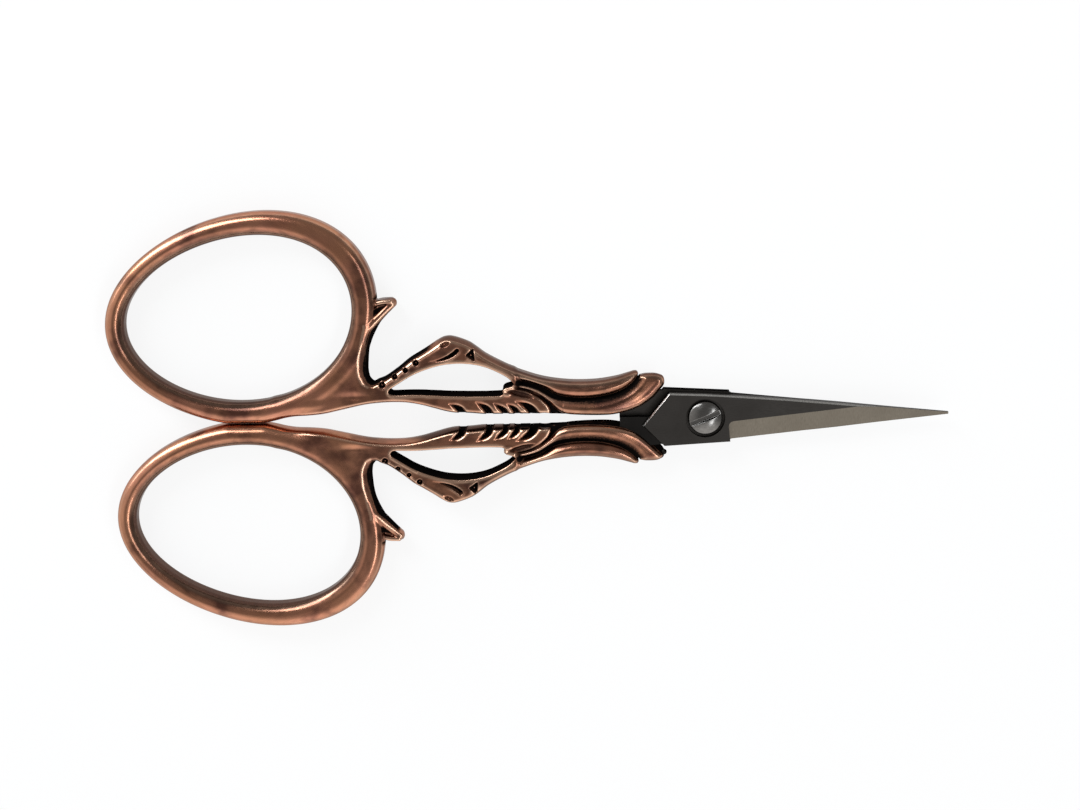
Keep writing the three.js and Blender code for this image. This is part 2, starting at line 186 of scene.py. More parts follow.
LAP_BOTTOM = [
    (-5.8, 4.28), (-6.2, 3.83), (-6.6, 3.32), (-7.0, 2.88), (-7.55, 2.44), (-8.25, 1.97), (-8.95, 1.57),
    (-10.3, 1.09), (-11.7, 0.77), (-13.1, 0.6), (-15, 0.58), (-16.8, 0.65), *PETAL_FOOT,
]
LEAF_FLOOR = [
    (-26.0, 4.6), (-25.5, 3.4), (-24, 2.6), (-22.6, 1.6), (-21.6, 0.85), (-20.5, 0.74), (-18.5, 0.79),
    (-18.5, 2.0), (-20, 2.9), (-22, 3.9), (-24.5, 4.9),
]
SPUR_TOP = [(-47.2, 15.9), (-45.3, 16.35), (-44.0, 16.8), (-42.85, 17.1), (-42.1, 17.0)]
SPUR_TIP = [(-41.87, 16.65), (-41.92, 16.15)]
SPUR_BOTTOM = [(-43.1, 15.05), (-44.2, 13.76), (-45.2, 11.94), (-46.0, 10.2), (-47.2, 9.5)]
SPUR_RIDGE = [(-46.6, 11.5), (-46.05, 12.9), (-45.2, 13.8), (-44.35, 14.6), (-43.4, 15.5), (-42.45, 16.35)]
SPUR_BRIM = [(-46.6, 16.0), (-45.2, 16.3), (-43.9, 16.65), (-42.6, 16.72)]

# Carving on the faces of the shank. Floors and tops are heights above the middle plane.
DIMPLES = [  # x, y, radius, radius of the bead in it
    (-44.1, 5.33, 0.42, 0.15),
    (-42.35, 6.47, 0.36, 0.14),
    (-40.85, 7.36, 0.34, 0.13),
    (-39.4, 8.36, 0.39, 0.15),
]
DIMPLE_FLOOR = 1.3
DIMPLE_RIM = (0.07, 0.08, 0.11)  # height, distance from the dimple, width
BEADS = [(x, y, bead) for x, y, _, bead in DIMPLES] + [(-35.5, 10.83, 0.17), (-31.9, 9.3, 0.18)]
BEAD_MIDDLE = 1.55
BEAD_BLEND = 0.08
BEAD_LINE = [
    (-45.3, 5.12), (-44.1, 5.4), (-43.3, 5.75), (-41.64, 6.9), (-40.1, 8.1), (-38.7, 8.98), (-36.3, 10.42),
]
LIP = [(-25.8, 4.88), (-26.5, 4.71), (-27.3, 4.48), (-27.58, 4.14), (-27.42, 3.8), (-26.85, 3.72)]
CORNER_RIM = [(-42.4, 3.85), (-43.2, 3.95), (-43.4, 4.42), (-43.1, 4.95), (-41.9, 5.72), (-39.75, 6.92)]
RAISED_LINES = ((BEAD_LINE, 0.1, 0.16), (LIP, 0.1, 0.18), (CORNER_RIM, 0.06, 0.14))  # line, height, width
RAISED_START = (0, 0.05)
PEAK_PIT = (-35.4, 10.85, 0.62, 0.3, math.radians(22))  # x, y, half length, half width, tilt
PIT_FLOOR = 1.5
COMMA = [(-37.5, 8.42), (-36.2, 8.68), (-35, 9.1), (-34.1, 9.65), (-33.75, 9.98)]
COMMA_WIDTHS = (0.04, 0.28, 0.9)  # half width at the start, at its fullest, and the share where it is full
COMMA_DEPTHS = (1.95, 0.75, 0, 0.8)  # top, depth, and the shares between which it deepens
COMMA_RIM = (0.06, 0.34, 0.16)
COMMA_RIM_START = (0.3, 0.8)
TRIANGLE_PIT = [(-31.62, 10.1), (-32.5, 9.32), (-31.45, 8.6)]
TRIANGLE_MARGIN = 0.08
TRIANGLE_FLOOR = 1.35
NOTCHES = [  # line, half width of the mouth
    ([(-35.0, 2.55), (-34.23, 2.19), (-33.63, 1.78), (-33.38, 1.44), (-33.2, 0.75)], 0.42),
    ([(-31.32, 2.76), (-30.46, 2.19), (-29.92, 1.77), (-29.63, 1.28), (-29.5, 0.6)], 0.42),
    ([(-28.89, 2.56), (-28.18, 2.01), (-27.65, 1.59), (-27.42, 1.25), (-27.25, 0.6)], 0.33),
    ([(-27.06, 2.45), (-26.41, 1.94), (-26.01, 1.56), (-25.84, 1.25), (-25.7, 0.6)], 0.33),
    ([(-25.9, 2.8), (-24.92, 2.37), (-24.1, 1.88), (-23.6, 1.31), (-23.3, 0.6)], 0.5),
]
NOTCH_START_WIDTH = 0.05
NOTCH_FULL_SHARE = 0.85
NOTCH_DEPTHS = (1.8, 1.4, 0.05, 0.6)
NOTCH_DIP = 0.42
NOTCH_DIP_EDGE = (0.45, -0.1)
NOTCH_DIP_START = (0.0, 0.5)
GROOVE = [
    (-25.5, 5.25), (-23.1, 4.62), (-21.76, 3.92), (-20.4, 3.27), (-18.6, 2.92), (-17, 2.8), (-15, 2.85),
    (-13.6, 3.06), (-12.2, 3.45), (-11, 4.0), (-9.8, 4.88), (-9.1, 5.75),
]
LENS = [
    (-27.2, 4.28), (-26.2, 4.42), (-25.0, 4.28), (-24.0, 3.85), (-23.3, 3.2), (-24.2, 3.22), (-25.0, 3.3),
    (-26.2, 3.66),
]
LENS_DEPTH = 0.55
LENS_EDGE = (0.1, -0.35)
WEB_DISH = (-48.2, 3.7, 1.9, 0.55)  # x, y, length, width
WEB_DISH_DEPTH = 0.22

# The grid that the castings are meshed on: from, to, spacing
GRID_X = [(-83.2, -47.6, 0.25), (-47.6, -4.9, 0.125)]
GRID_Y = [(-0.6, 17.6, 0.125), (17.6, 30.2, 0.25)]
GRID_Z = [(0.0, 2.6, 0.13)]
EVEN_SPACING = 0.125
EVEN_X = (-83.5, -4.5)
EVEN_Y = (-1.0, 30.5)

# Areas of the casting: each is the product of ramps on a measure, from none to full
WALL = ("facing", 0.75, 0.3)
PETAL_WALL = ("facing", 0.5, 0.1)
FACE = ("facing", 0.4, 0.8)
TOUCH_AREA = [("y", 4, 2)]
LOW_JOINT_AREA = [("x", -49, -53), ("y", 3.6, 2.4)]
BOW_SIDE_AREA = [("x", -47.5, -48.3), ("y", 5, 6.5)]
FADE_AREA = [("x", -53, -58.5), ("y", 5.5, 3.5)]
WEB_SIDE_AREA = [("x", -45.2, -46.4), ("y", 4.6, 6), ("x", -48.2, -47.5)]
ARM_SIDE_AREA = [("x", -36.2, -38.2), ("y", 5.1, 5.7)]
LEAF_SIDE_AREA = [("x", -23.1, -21.9), ("y", 4.6, 4.2)]
THINNING_AREA = [("x", -14.5, -6.5)]
SLOPE_AREA = [("groove", 1.35, 0.15), ("x", -22.5, -20)]
# Where the casting is black, with the weight of each area
BLACK_AREAS = [
    (1.0, [WALL, ("window", 0.35, 0.1)]),
    (1.0, [WALL, ("x", -35.6, -34.6), ("y", 2.6, 1.9), ("carved", 0.25, 0.0)]),
    (1.0, [PETAL_WALL, ("x", -22, -20.5), ("petal_rise", 3.4, 2.2)]),
    (0.9, [PETAL_WALL, ("x", -9.6, -8.6), ("north", 0.1, -0.3)]),
    (1.0, [("above_groove", 1, 0), ("groove", 1.2, 0.1)]),
    (1.0, [("above_groove", 0, 1), ("groove", 0.42, 0.2), ("height", 1.9, 1.5)]),
    (1.0, [("x", -36.0, -38.4), ("x", -47.9, -47.3), ("y", 4.6, 5.1), ("y", 18, 17), ("height", 1.78, 1.45)]),
    (1.0, [("x", -26.2, -25.2), ("x", -18.2, -19.2), ("height", 1.5, 1.0), ("above_groove", 1, 0)]),
    (1.0, [("x", -46.5, -46.1), ("x", -41.6, -42.4), ("y", 12.4, 13.2), ("y", 18, 17.2),
           ("height", 1.2, 0.85)]),
    (1.0, [("from_neck", 0.75, 0.3), ("height", 2.12, 1.95)]),
]
# The spur's ridge, brim and tip stay bare
BARE_AREAS = [
    (1.0, [("ridge", 0.62, 0.42), ("height", 0.9, 1.2), ("y", 12.0, 13.0)]),
    (1.0, [("brim", 0.75, 0.45), ("y", 12.0, 13.0)]),
    (0.9, [("x", -43.1, -42.4), ("y", 15.2, 15.8), ("x", -40, -41)]),
]
# The lens and the underside of the lap, which no wear reaches
LATE_BLACK_AREAS = [
    (0.55, [("lens", 0.12, -0.15), FACE]),
    (1.0, [("height", 0.3, 0.2), ("up", -0.2, -0.5), ("x", LAP_START, LAP_START + 1)]),
]
# Where the casting is brown, and where shade is painted on as brown: on the inner side of the bow and on the
# walls facing along Y
SHADE_AND_BROWN_AREAS = [
    # Painted shade on the inner side of the bow's ring
    (1.0, [("on_ring", 0, 1), ("inward", 0.2, 0.75)]),
    (0.9, [("lens", 0.12, -0.15), FACE]),
    # Painted shade on the walls facing positive Y, on the arm and the outer petal
    (0.85, [("north", 0.12, 0.62), ("x", -37.6, -35.6), ("y", 2.5, 3.5)]),
    # Painted shade on the bar's walls facing negative Y
    (1.0, [("north", -0.25, -0.7), ("x", -50, -45), ("y", 2.9, 2.2), ("x", -20.5, -22)]),
    (0.55, [("x", -34.5, -31.5), ("x", -17, -24), ("above_groove", 0, 1), ("y", 5.0, 5.6)]),
    (0.3, [("x", -48.2, -46.8)]),
    (0.38, [("x", -48.2, -46.8), ("x", -46, -43), ("y", 4.3, 5), ("y", 18, 13)]),
    (0.62, [("brim", 0.8, 0.5), ("y", 14.5, 15.2), ("x", -45.9, -45.3)]),
]
# Wear and painted highlights: lighter copper on crests and along raised lines and the web's front edge
WEAR_AND_HIGHLIGHT_LINES = ((BEAD_LINE, 0.17), (LIP, 0.24), (CORNER_RIM, 0.16), (GAP_EDGE[1:] + WEB_EDGE, 0.22))
WEAR_AND_HIGHLIGHT_LINE_AREA = [("height", 1.6, 1.8)]
WEAR_AND_HIGHLIGHT_LINE_WEIGHT = 0.75
WEAR_AND_HIGHLIGHT_LINE_CORE = 0.4  # share of a worn line's width that is fully bright
WEAR_AND_HIGHLIGHT_CREST = (0.05, 0.35)
WEAR_AND_HIGHLIGHT_OFF_NECK = (0.45, 0.9)
# The painted highlights on crests and raised lines take off black as the wear does
WEAR_AND_HIGHLIGHT_CLEANS = 0.8  # how much of the black the wear takes off
NECK = (-25.55, 5.3)
NECK_CREST = (-25.8, 5.55)
FINE_HOLLOW = (2.6, 0.06, 0.4)  # blur in cells, and the depths of none and full black
BROAD_HOLLOW = (6.0, 0.2, 0.7)
CUT_EDGE = (0.06, -0.08)
BEAD_SHINE = 0.9
BEAD_EDGE = 0.06
BEAD_TOP = (1.5, 1.62)
DIMPLE_SHINE = 0.42
DIMPLE_EDGE = 0.2
PIT_SHINE = 0.45
PIT_EDGE = (0.9, 0.7)
PETAL_RISE_START = -11
PETAL_RISE_SLOPE = 0.5
RING_MARGIN = 0.3
RING_GRAIN_RADIUS = 14
RING_GRAIN_DRIFT = 0.02


# Curves and distances

CURVE_STEP = 0.15
SAME_POINT = 1e-6


def curve_through(points):
    """Points along a smooth curve through the given ones."""
    given = np.array(points, float)
    padded = np.vstack([2 * given[0] - given[1], given, 2 * given[-1] - given[-2]])
    parts = []
    for a, b, c, d in zip(padded, padded[1:], padded[2:], padded[3:]):
        count = max(2, int(np.linalg.norm(c - b) / CURVE_STEP))
        t = np.linspace(0, 1, count, endpoint=False)[:, None]
        linear = 2 * b + (c - a) * t
        square = (2 * a - 5 * b + 4 * c - d) * t**2
        cube = (3 * b - a - 3 * c + d) * t**3
        parts.append(0.5 * (linear + square + cube))
    parts.append(given[-1:])
    return np.vstack(parts)


def outline_of(*runs):
    """A closed outline made of smooth runs, with corners where they meet."""
    return np.vstack([curve_through(run) for run in runs])


def along_segment(a, b, x, y):
    """The share of a segment that is nearest to each place, and the square of the distance to it."""
    ex, ey = b - a
    share = np.clip(((x - a[0]) * ex + (y - a[1]) * ey) / (ex * ex + ey * ey), 0, 1)
    return share, (x - a[0] - share * ex) ** 2 + (y - a[1] - share * ey) ** 2


def area_distance(outline, x, y):
    """Distance to a closed outline, less than zero inside it."""
    nearest = np.full(x.shape, np.inf)
    inside = np.zeros(x.shape, bool)
    for a, b in zip(outline, np.roll(outline, -1, axis=0)):
        if np.hypot(*(b - a)) < SAME_POINT:
            continue
        nearest = np.minimum(nearest, along_segment(a, b, x, y)[1])
        if a[1] != b[1]:
            crossing = a[0] + (b[0] - a[0]) * (y - a[1]) / (b[1] - a[1])
            inside ^= ((a[1] > y) != (b[1] > y)) & (x < crossing)
    distance = np.sqrt(nearest)
    return np.where(inside, -distance, distance)


def line_distance(points, x, y):
    """Distance from a smooth line, and the share of its length where it is nearest."""
    line = curve_through(points)
    steps = np.linalg.norm(np.diff(line, axis=0), axis=1)
    starts = np.concatenate([[0], np.cumsum(steps)])
    nearest = np.full(x.shape, np.inf)
    share_at = np.zeros(x.shape)
    for a, b, start, step in zip(line, line[1:], starts, steps):
        share, gap = along_segment(a, b, x, y)
        closer = gap < nearest
        nearest = np.where(closer, gap, nearest)
        share_at = np.where(closer, (start + share * step) / starts[-1], share_at)
    return np.sqrt(nearest), share_at


def point_distance(place, x, y):
    return np.hypot(x - place[0], y - place[1])


def smooth_min(a, b, k):
    h = np.clip(0.5 + 0.5 * (b - a) / k, 0, 1)
    return b * (1 - h) + a * h - k * h * (1 - h)


def smooth_max(a, b, k):
    return -smooth_min(-a, -b, k)


def smooth_step(none, full, value):
    """Zero at none, one at full and smooth between them, whichever is larger."""
    t = np.clip((value - none) / (full - none), 0, 1)
    return t * t * (3 - 2 * t)


def area(ramps, measures):
    """How far each place lies inside an area, from 0 to 1."""
    inside = 1.0
    for measure, none, full in ramps:
        inside = inside * smooth_step(none, full, measures[measure])
    return inside


def strongest(weighted_areas, measures):
    return np.maximum.reduce([weight * area(ramps, measures) for weight, ramps in weighted_areas])


def bump_at(distance, width):
    """A round ridge along a line, one high."""
    return np.exp(-((distance / width) ** 2))


def rounded_bar(d, z, half, rounding):
    """A plan distance raised to both sides of the middle plane, with round shoulders."""
    across = d[:, :, None] + rounding
    up = z - (half - rounding)
    outside = np.hypot(np.maximum(across, 0), np.maximum(up, 0))
    return np.minimum(np.maximum(across, up), 0) + outside - rounding


# The casting as a field: less than zero inside the metal

def egg_outline(middle, outside):
    angles = np.linspace(0, 2 * math.pi, BOW_STEPS, endpoint=False)
    y = (BOW_HALF_WIDTH + outside) * np.sin(angles) * (1 + BOW_EGG_RATIO * np.cos(angles))
    x = (BOW_HALF_LENGTH + outside) * np.cos(angles) + BOW_LEAN_RATIO * y
    return np.stack([middle[0] + x, middle[1] + y], axis=1)


def bow_outside(x, y):
    """Distance to the outside of the bow, which is flattened where the two bows meet."""
    plain = area_distance(egg_outline(RING_MIDDLE, BOW_RING_WIDTH), x, y)
    near = area(TOUCH_AREA, {"y": y})
    widening = TOUCH_WIDENING * bump_at(x - RING_MIDDLE[0], TOUCH_LENGTH) * near
    return smooth_max(plain - widening, TOUCH_GAP - y, TOUCH_ROUNDING)


def relief(x, y):
    """Low carving: how far the face of the plate stands above its level."""
    dish_x, dish_y, dish_length, dish_width = WEB_DISH
    height = -WEB_DISH_DEPTH * bump_at(x - dish_x, dish_length) * bump_at(y - dish_y, dish_width)
    for line, rise, width in RAISED_LINES:
        away, share = line_distance(line, x, y)
        height += rise * bump_at(away, width) * smooth_step(*RAISED_START, share)
    rise, outside, width = DIMPLE_RIM
    for dimple in DIMPLES:
        height += rise * bump_at(point_distance(dimple, x, y) - dimple[2] - outside, width)
    rise, outside, width = COMMA_RIM
    away, share = line_distance(COMMA, x, y)
    height += rise * bump_at(away - outside, width) * smooth_step(*COMMA_RIM_START, share)
    for line, mouth in NOTCHES:
        away, share = line_distance(line, x, y)
        dip = smooth_step(*NOTCH_DIP_EDGE, away - mouth * share) * smooth_step(*NOTCH_DIP_START, share)
        height -= NOTCH_DIP * dip
    height -= LENS_DEPTH * smooth_step(*LENS_EDGE, area_distance(np.array(LENS), x, y))
    return height


def petal_half_at(x):
    """Half the thickness of the petals, which thin towards their tips."""
    thinning = PETAL_HALF_THICKNESS - PETAL_TIP_HALF_THICKNESS
    return (PETAL_HALF_THICKNESS - thinning * area(THINNING_AREA, {"x": x}))[:, :, None]


def inner_petal_field(outline, x, y, z):
    """The inner petal, which slopes down to the groove beside the outer one."""
    half = petal_half_at(x)
    petal = rounded_bar(area_distance(outline, x, y), z, half, INNER_PETAL_ROUNDING)
    here = {"groove": line_distance(GROOVE, x, y)[0], "x": x}
    slope = GROOVE_SLOPE * area(SLOPE_AREA, here)
    return smooth_max(petal, z - half + slope[:, :, None], GROOVE_SLOPE_ROUNDING)


def plate_field(outline_distance, x, y, z):
    """The plate of the arm, the bar and the web, with its carved faces and bulging walls."""
    here = {"x": x, "y": y}
    at_leaf = area(LEAF_SIDE_AREA, here)
    plain = WALL_BULGE * (1 - LEAF_FLATNESS * at_leaf) * (1 - area(BOW_SIDE_AREA, here))
    at_web = plain + (WEB_BULGE - plain) * area(WEB_SIDE_AREA, here)
    at_arm = plain + (ARM_BULGE - plain) * area(ARM_SIDE_AREA, here)
    bulge = np.maximum(at_web, at_arm)[:, :, None]
    side = outline_distance[:, :, None] - bulge * (1 - (z / SHANK_HALF_THICKNESS) ** 2)
    fading = PLATE_FADE * area(FADE_AREA, here)
    level = SHANK_HALF_THICKNESS - FACE_SINK - fading + relief(x, y)
    return smooth_max(side, z - level[:, :, None], FACE_ROUNDING)


def with_spur(body, x, y, z):
    """Adds the spur: a ridge and a brim that meet at its tip, with a thin pocket between them."""
    away, share = line_distance(SPUR_RIDGE, x, y)
    half = RIDGE_HALF_THICKNESS - RIDGE_LOWERING * smooth_step(*RIDGE_LOWERING_SHARE, share)
    side = away - RIDGE_HALF_WIDTH + RIDGE_NARROWING * share
    ridge = rounded_bar(side, z, half[:, :, None], RIDGE_ROUNDING)
    body = smooth_min(body, ridge, SPUR_BLEND)
    side = line_distance(SPUR_BRIM, x, y)[0] - BRIM_HALF_WIDTH
    brim = rounded_bar(side, z, BRIM_HALF_THICKNESS, BRIM_HALF_WIDTH)
    body = smooth_min(body, brim, BRIM_BLEND)
    side = area_distance(outline_of(SPUR_TOP, SPUR_TIP, SPUR_BOTTOM), x, y)
    pocket = rounded_bar(side, z, POCKET_HALF_THICKNESS, POCKET_ROUNDING)
    return smooth_min(body, pocket, SPUR_BLEND)


def line_cut(line, widths, depths, x, y):
    """Plan distance to a cut that widens along a line, and the height of its floor."""
    away, share = line_distance(line, x, y)
    narrow, wide, full_share = widths
    top, depth, start, end = depths
    half_width = narrow + (wide - narrow) * smooth_step(0, full_share, share)
    return away - half_width, top - depth * smooth_step(start, end, share)


def carved_cuts(x, y):
    """The plan distance to each deep cut, with the height of its floor."""
    level = np.ones(x.shape)
    cuts = [(area_distance(np.array(TRIANGLE_PIT), x, y) - TRIANGLE_MARGIN, TRIANGLE_FLOOR * level)]
    for line, mouth in NOTCHES:
        cuts.append(line_cut(line, (NOTCH_START_WIDTH, mouth, NOTCH_FULL_SHARE), NOTCH_DEPTHS, x, y))
    cuts.append(line_cut(COMMA, COMMA_WIDTHS, COMMA_DEPTHS, x, y))
    for dimple in DIMPLES:
        cuts.append((point_distance(dimple, x, y) - dimple[2], DIMPLE_FLOOR * level))
    pit_x, pit_y, pit_length, pit_width, pit_tilt = PEAK_PIT
    u = (x - pit_x) * math.cos(pit_tilt) + (y - pit_y) * math.sin(pit_tilt)
    v = (y - pit_y) * math.cos(pit_tilt) - (x - pit_x) * math.sin(pit_tilt)
    cuts.append(((np.hypot(u / pit_length, v / pit_width) - 1) * pit_width, PIT_FLOOR * level))
    return cuts


def casting_field(x, y, z):
    """The field at plan coordinates x and y and heights z, and the plan distances that the patina needs."""
    cuts = carved_cuts(x, y)
    plan = {
        "bow_outer": bow_outside(x, y),
        "bow_inner": area_distance(egg_outline(OPENING_MIDDLE, 0), x, y),
        "window": area_distance(outline_of(WINDOW_TOP, WINDOW_HOOK, WINDOW_BOTTOM, WINDOW_CORNER), x, y),
        "carved": np.minimum.reduce([side for side, floor in cuts]),
    }
    plan["ring"] = np.maximum(plan["bow_outer"], -plan["bow_inner"])
    plate_outline = outline_of(BAR_EDGE, LEAF_EDGE, ARM_ROOT_EDGE, ARM_EDGE, GAP_EDGE, WEB_EDGE, WEB_BACK)
    body = plate_field(area_distance(plate_outline, x, y), x, y, z)
    ring = rounded_bar(plan["ring"], z, BOW_HALF_THICKNESS, BOW_ROUNDING)
    low_joint = area(LOW_JOINT_AREA, {"x": x, "y": y})
    joint = (JOINT_ROUNDING + LOW_JOINT_ROUNDING * low_joint)[:, :, None]
    body = smooth_max(smooth_min(body, ring, joint), z - FACE_LIMIT, LIMIT_ROUNDING)

    outer_outline = outline_of(OUTER_PETAL_ROOT + OUTER_PETAL_TOP, OUTER_PETAL_TIP, OUTER_PETAL_BOTTOM)
    outer = rounded_bar(area_distance(outer_outline, x, y), z, petal_half_at(x), OUTER_PETAL_ROUNDING)
    body = smooth_min(body, outer, OUTER_PETAL_BLEND)
    inner = inner_petal_field(outline_of(INNER_PETAL_TOP, INNER_PETAL_TIP, INNER_PETAL_BOTTOM), x, y, z)
    body = smooth_min(body, inner, INNER_PETAL_BLEND)
    floor_outline = outline_of(OUTER_PETAL_TOP, OUTER_PETAL_TIP, INNER_PETAL_TIP, INNER_PETAL_BOTTOM)
    floor_side = area_distance(floor_outline, x, y)[:, :, None] + GROOVE_FLOOR_INSET
    floor = smooth_max(floor_side, z - GROOVE_FLOOR, GROOVE_FLOOR_ROUNDING)
    body = smooth_min(body, floor, GROOVE_FLOOR_BLEND)
    leaf_side = area_distance(curve_through(LEAF_FLOOR), x, y)
    leaf_floor = rounded_bar(leaf_side, z, GROOVE_FLOOR, LEAF_FLOOR_ROUNDING)
    body = smooth_min(body, leaf_floor, LEAF_FLOOR_BLEND)

    body = with_spur(body, x, y, z)
    body = smooth_max(body, -plan["window"][:, :, None], WINDOW_ROUNDING)
    for side, floor in cuts:
        cut = np.maximum(side[:, :, None], floor[:, :, None] - z)
        body = smooth_max(body, -cut, CUT_ROUNDING)
    for bead in BEADS:
        away = point_distance(bead, x, y)[:, :, None]
        body = smooth_min(body, np.hypot(away, z - BEAD_MIDDLE) - bead[2], BEAD_BLEND)
    return body, plan


# Meshing

LEAST_SLOPE = 0.2
LONGEST_STEP = 0.2


def spaced(stretches):
    parts = []
    for start, end, spacing in stretches:
        parts.append(np.linspace(start, end, round((end - start) / spacing) + 1))
    return np.unique(np.round(np.concatenate(parts), 6))


def net_vertices(field, below, cells, axes):
    """For each cell, the mean of the places where the field crosses zero on its edges."""
    total = np.zeros((len(cells), 3))
    count = np.zeros(len(cells))
    for axis in range(3):
        others = [a for a in range(3) if a != axis]
        for p, q in np.ndindex(2, 2):
            start = cells.copy()
            start[:, others[0]] += p
            start[:, others[1]] += q
            end = start.copy()
            end[:, axis] += 1
            low = field[tuple(start.T)]
            high = field[tuple(end.T)]
            crossed = below[tuple(start.T)] != below[tuple(end.T)]
            share = np.where(crossed, low / np.where(crossed, low - high, 1), 0)
            for a in range(3):
                here = axes[a][start[:, a]]
                there = axes[a][end[:, a]]
                total[:, a] += np.where(crossed, here + share * (there - here), 0)
            count += crossed
    return total / count[:, None]


def net_faces(below, index):
    """A four-sided face across each grid edge that the surface crosses."""
    shape = index.shape
    faces = []
    for axis in range(3):
        b, c = [a for a in range(3) if a != axis]
        lower = [slice(None)] * 3
        upper = [slice(None)] * 3
        lower[axis] = slice(None, -1)
        upper[axis] = slice(1, None)
        at = np.argwhere(below[tuple(lower)] != below[tuple(upper)])
        at = at[(at[:, b] > 0) & (at[:, c] > 0) & (at[:, b] < shape[b]) & (at[:, c] < shape[c])]
        corners = []
        for p, q in ((1, 1), (0, 1), (0, 0), (1, 0)):
            cell = at.copy()
            cell[:, b] -= p
            cell[:, c] -= q
            corners.append(index[tuple(cell.T)])
        quads = np.stack(corners, axis=1)
        solid_first = below[tuple(at.T)]
        turned = solid_first if axis == 1 else ~solid_first
        quads[turned] = quads[turned][:, ::-1]
        faces.append(quads)
    return np.vstack(faces)


def surface_net(field, axes):
    """Vertices and four-sided faces where the field is zero, one vertex to a cell."""
    below = field < 0
    shape = np.array(field.shape) - 1
    mixed = np.zeros(shape, bool)
    first = below[:-1, :-1, :-1]
    for i, j, k in np.ndindex(2, 2, 2):
        mixed |= below[i:i + shape[0], j:j + shape[1], k:k + shape[2]] != first
    cells = np.argwhere(mixed)
    index = np.full(shape, -1)
    index[mixed] = np.arange(len(cells))
    return net_vertices(field, below, cells, axes), net_faces(below, index)


def sampled(grid, axes, points):
    """The grid's value at each point, between its nearest nodes, on as many axes as are given."""
    places = []
    shares = []
    for axis, along in zip(axes, points.T):
        place = np.clip(np.searchsorted(axis, along) - 1, 0, len(axis) - 2)
        places.append(place)
        shares.append(np.clip((along - axis[place]) / (axis[place + 1] - axis[place]), 0, 1))
    value = np.zeros(len(points))
    for corner in np.ndindex(*(2,) * len(axes)):
        weight = 1.0
        for share, step in zip(shares, corner):
            weight = weight * (share if step else 1 - share)
        value += weight * grid[tuple(place + step for place, step in zip(places, corner))]
    return value


def relaxed(vertices, faces, rounds):
    """Each vertex moves half way to the middle of its neighbours."""
    pairs = np.vstack([faces[:, [0, 1]], faces[:, [1, 2]], faces[:, [2, 3]], faces[:, [3, 0]]])
    for _ in range(rounds):
        total = np.zeros_like(vertices)
        count = np.zeros(len(vertices))
        for a, b in ((0, 1), (1, 0)):
            for axis in range(3):
                total[:, axis] += np.bincount(pairs[:, a], vertices[pairs[:, b], axis], len(vertices))
            count += np.bincount(pairs[:, a], minlength=len(vertices))
        vertices = 0.5 * vertices + 0.5 * total / count[:, None]
    return vertices


def meshed(field, axes, rounds=2):
    """A smooth mesh of the field's surface: vertices, faces and normals."""
    vertices, faces = surface_net(field, axes)
    slopes = np.gradient(field, *axes)
    for _ in range(2):
        vertices = relaxed(vertices, faces, rounds)
        for _ in range(2):
            slope = np.stack([sampled(s, axes, vertices) for s in slopes], axis=1)
            value = sampled(field, axes, vertices)
            step = value / np.maximum((slope**2).sum(axis=1), LEAST_SLOPE)
            vertices = vertices - np.clip(step, -LONGEST_STEP, LONGEST_STEP)[:, None] * slope
    slope = np.stack([sampled(s, axes, vertices) for s in slopes], axis=1)
    normals = slope / np.maximum(np.linalg.norm(slope, axis=1), 1e-9)[:, None]
    return vertices, faces, normals


def new_object(name, data):
    made = bpy.data.objects.new(name, data)
    bpy.context.scene.collection.objects.link(made)
    return made


def mesh_object(name, vertices, faces, normals):
    """A mesh object in the row frame from a drawing about the pivot, in millimetres."""
    mesh = bpy.data.meshes.new(name)
    mesh.from_pydata(((vertices + PIVOT) * MM).tolist(), [], faces.tolist())
    mesh.validate()
    mesh.shade_smooth()
    mesh.normals_split_custom_set_from_vertices(normals.tolist())
    return new_object(name, mesh)


def turned_over(points):
    return points * np.array([1, -1, -1])


def store(made, name, values):
    """Keeps one number, or one vector, for each vertex."""
    kind, field = ("FLOAT", "value") if values.ndim == 1 else ("FLOAT_VECTOR", "vector")
    layer = made.data.attributes.new(name, kind, "POINT")
    layer.data.foreach_set(field, values.astype(np.float32).ravel())


# The casting of a half with its handle at positive Y, with the lap above its middle plane
axis_x = spaced(GRID_X)
axis_y = spaced(GRID_Y)
half_z = spaced(GRID_Z)
plan_x, plan_y = np.meshgrid(axis_x, axis_y, indexing="ij")
heights = half_z[None, None, :]
half_field, plans = casting_field(plan_x, plan_y, heights)
lapped = axis_x > LAP_START
lap_outline = outline_of(INNER_PETAL_TOP, LAP_TIP, LAP_BOTTOM)
lap = inner_petal_field(lap_outline, plan_x[lapped], plan_y[lapped], heights)
lapped_field = half_field.copy()
lapped_field[lapped] = smooth_min(half_field[lapped], lap, INNER_PETAL_BLEND)
axis_z = np.concatenate([-half_z[:0:-1], half_z])
whole_field = np.concatenate([half_field[:, :, :0:-1], lapped_field], axis=2)
vertices, faces, normals = meshed(whole_field, (axis_x, axis_y, axis_z))


# Patina: how black, brown and worn each place of the casting is, where some of the brown is painted shade and
# some of the wear is a painted highlight

even_x = np.arange(*EVEN_X, EVEN_SPACING)
even_y = np.arange(*EVEN_Y, EVEN_SPACING)


def blurred(grid, sigma_cells):
    reach = int(3 * sigma_cells) + 1
    kernel = np.exp(-0.5 * (np.arange(-reach, reach + 1) / sigma_cells) ** 2)
    kernel /= kernel.sum()
    padded = np.pad(grid, reach, mode="edge")
    for axis in (0, 1):
        padded = np.apply_along_axis(np.convolve, axis, padded, kernel, "valid")
    return padded


def evened(grid):
    """The plan grid's values at even spacing."""
    for axis, (even, own) in enumerate(((even_x, axis_x), (even_y, axis_y))):
        grid = np.apply_along_axis(lambda values: np.interp(even, own, values), axis, grid)
    return grid


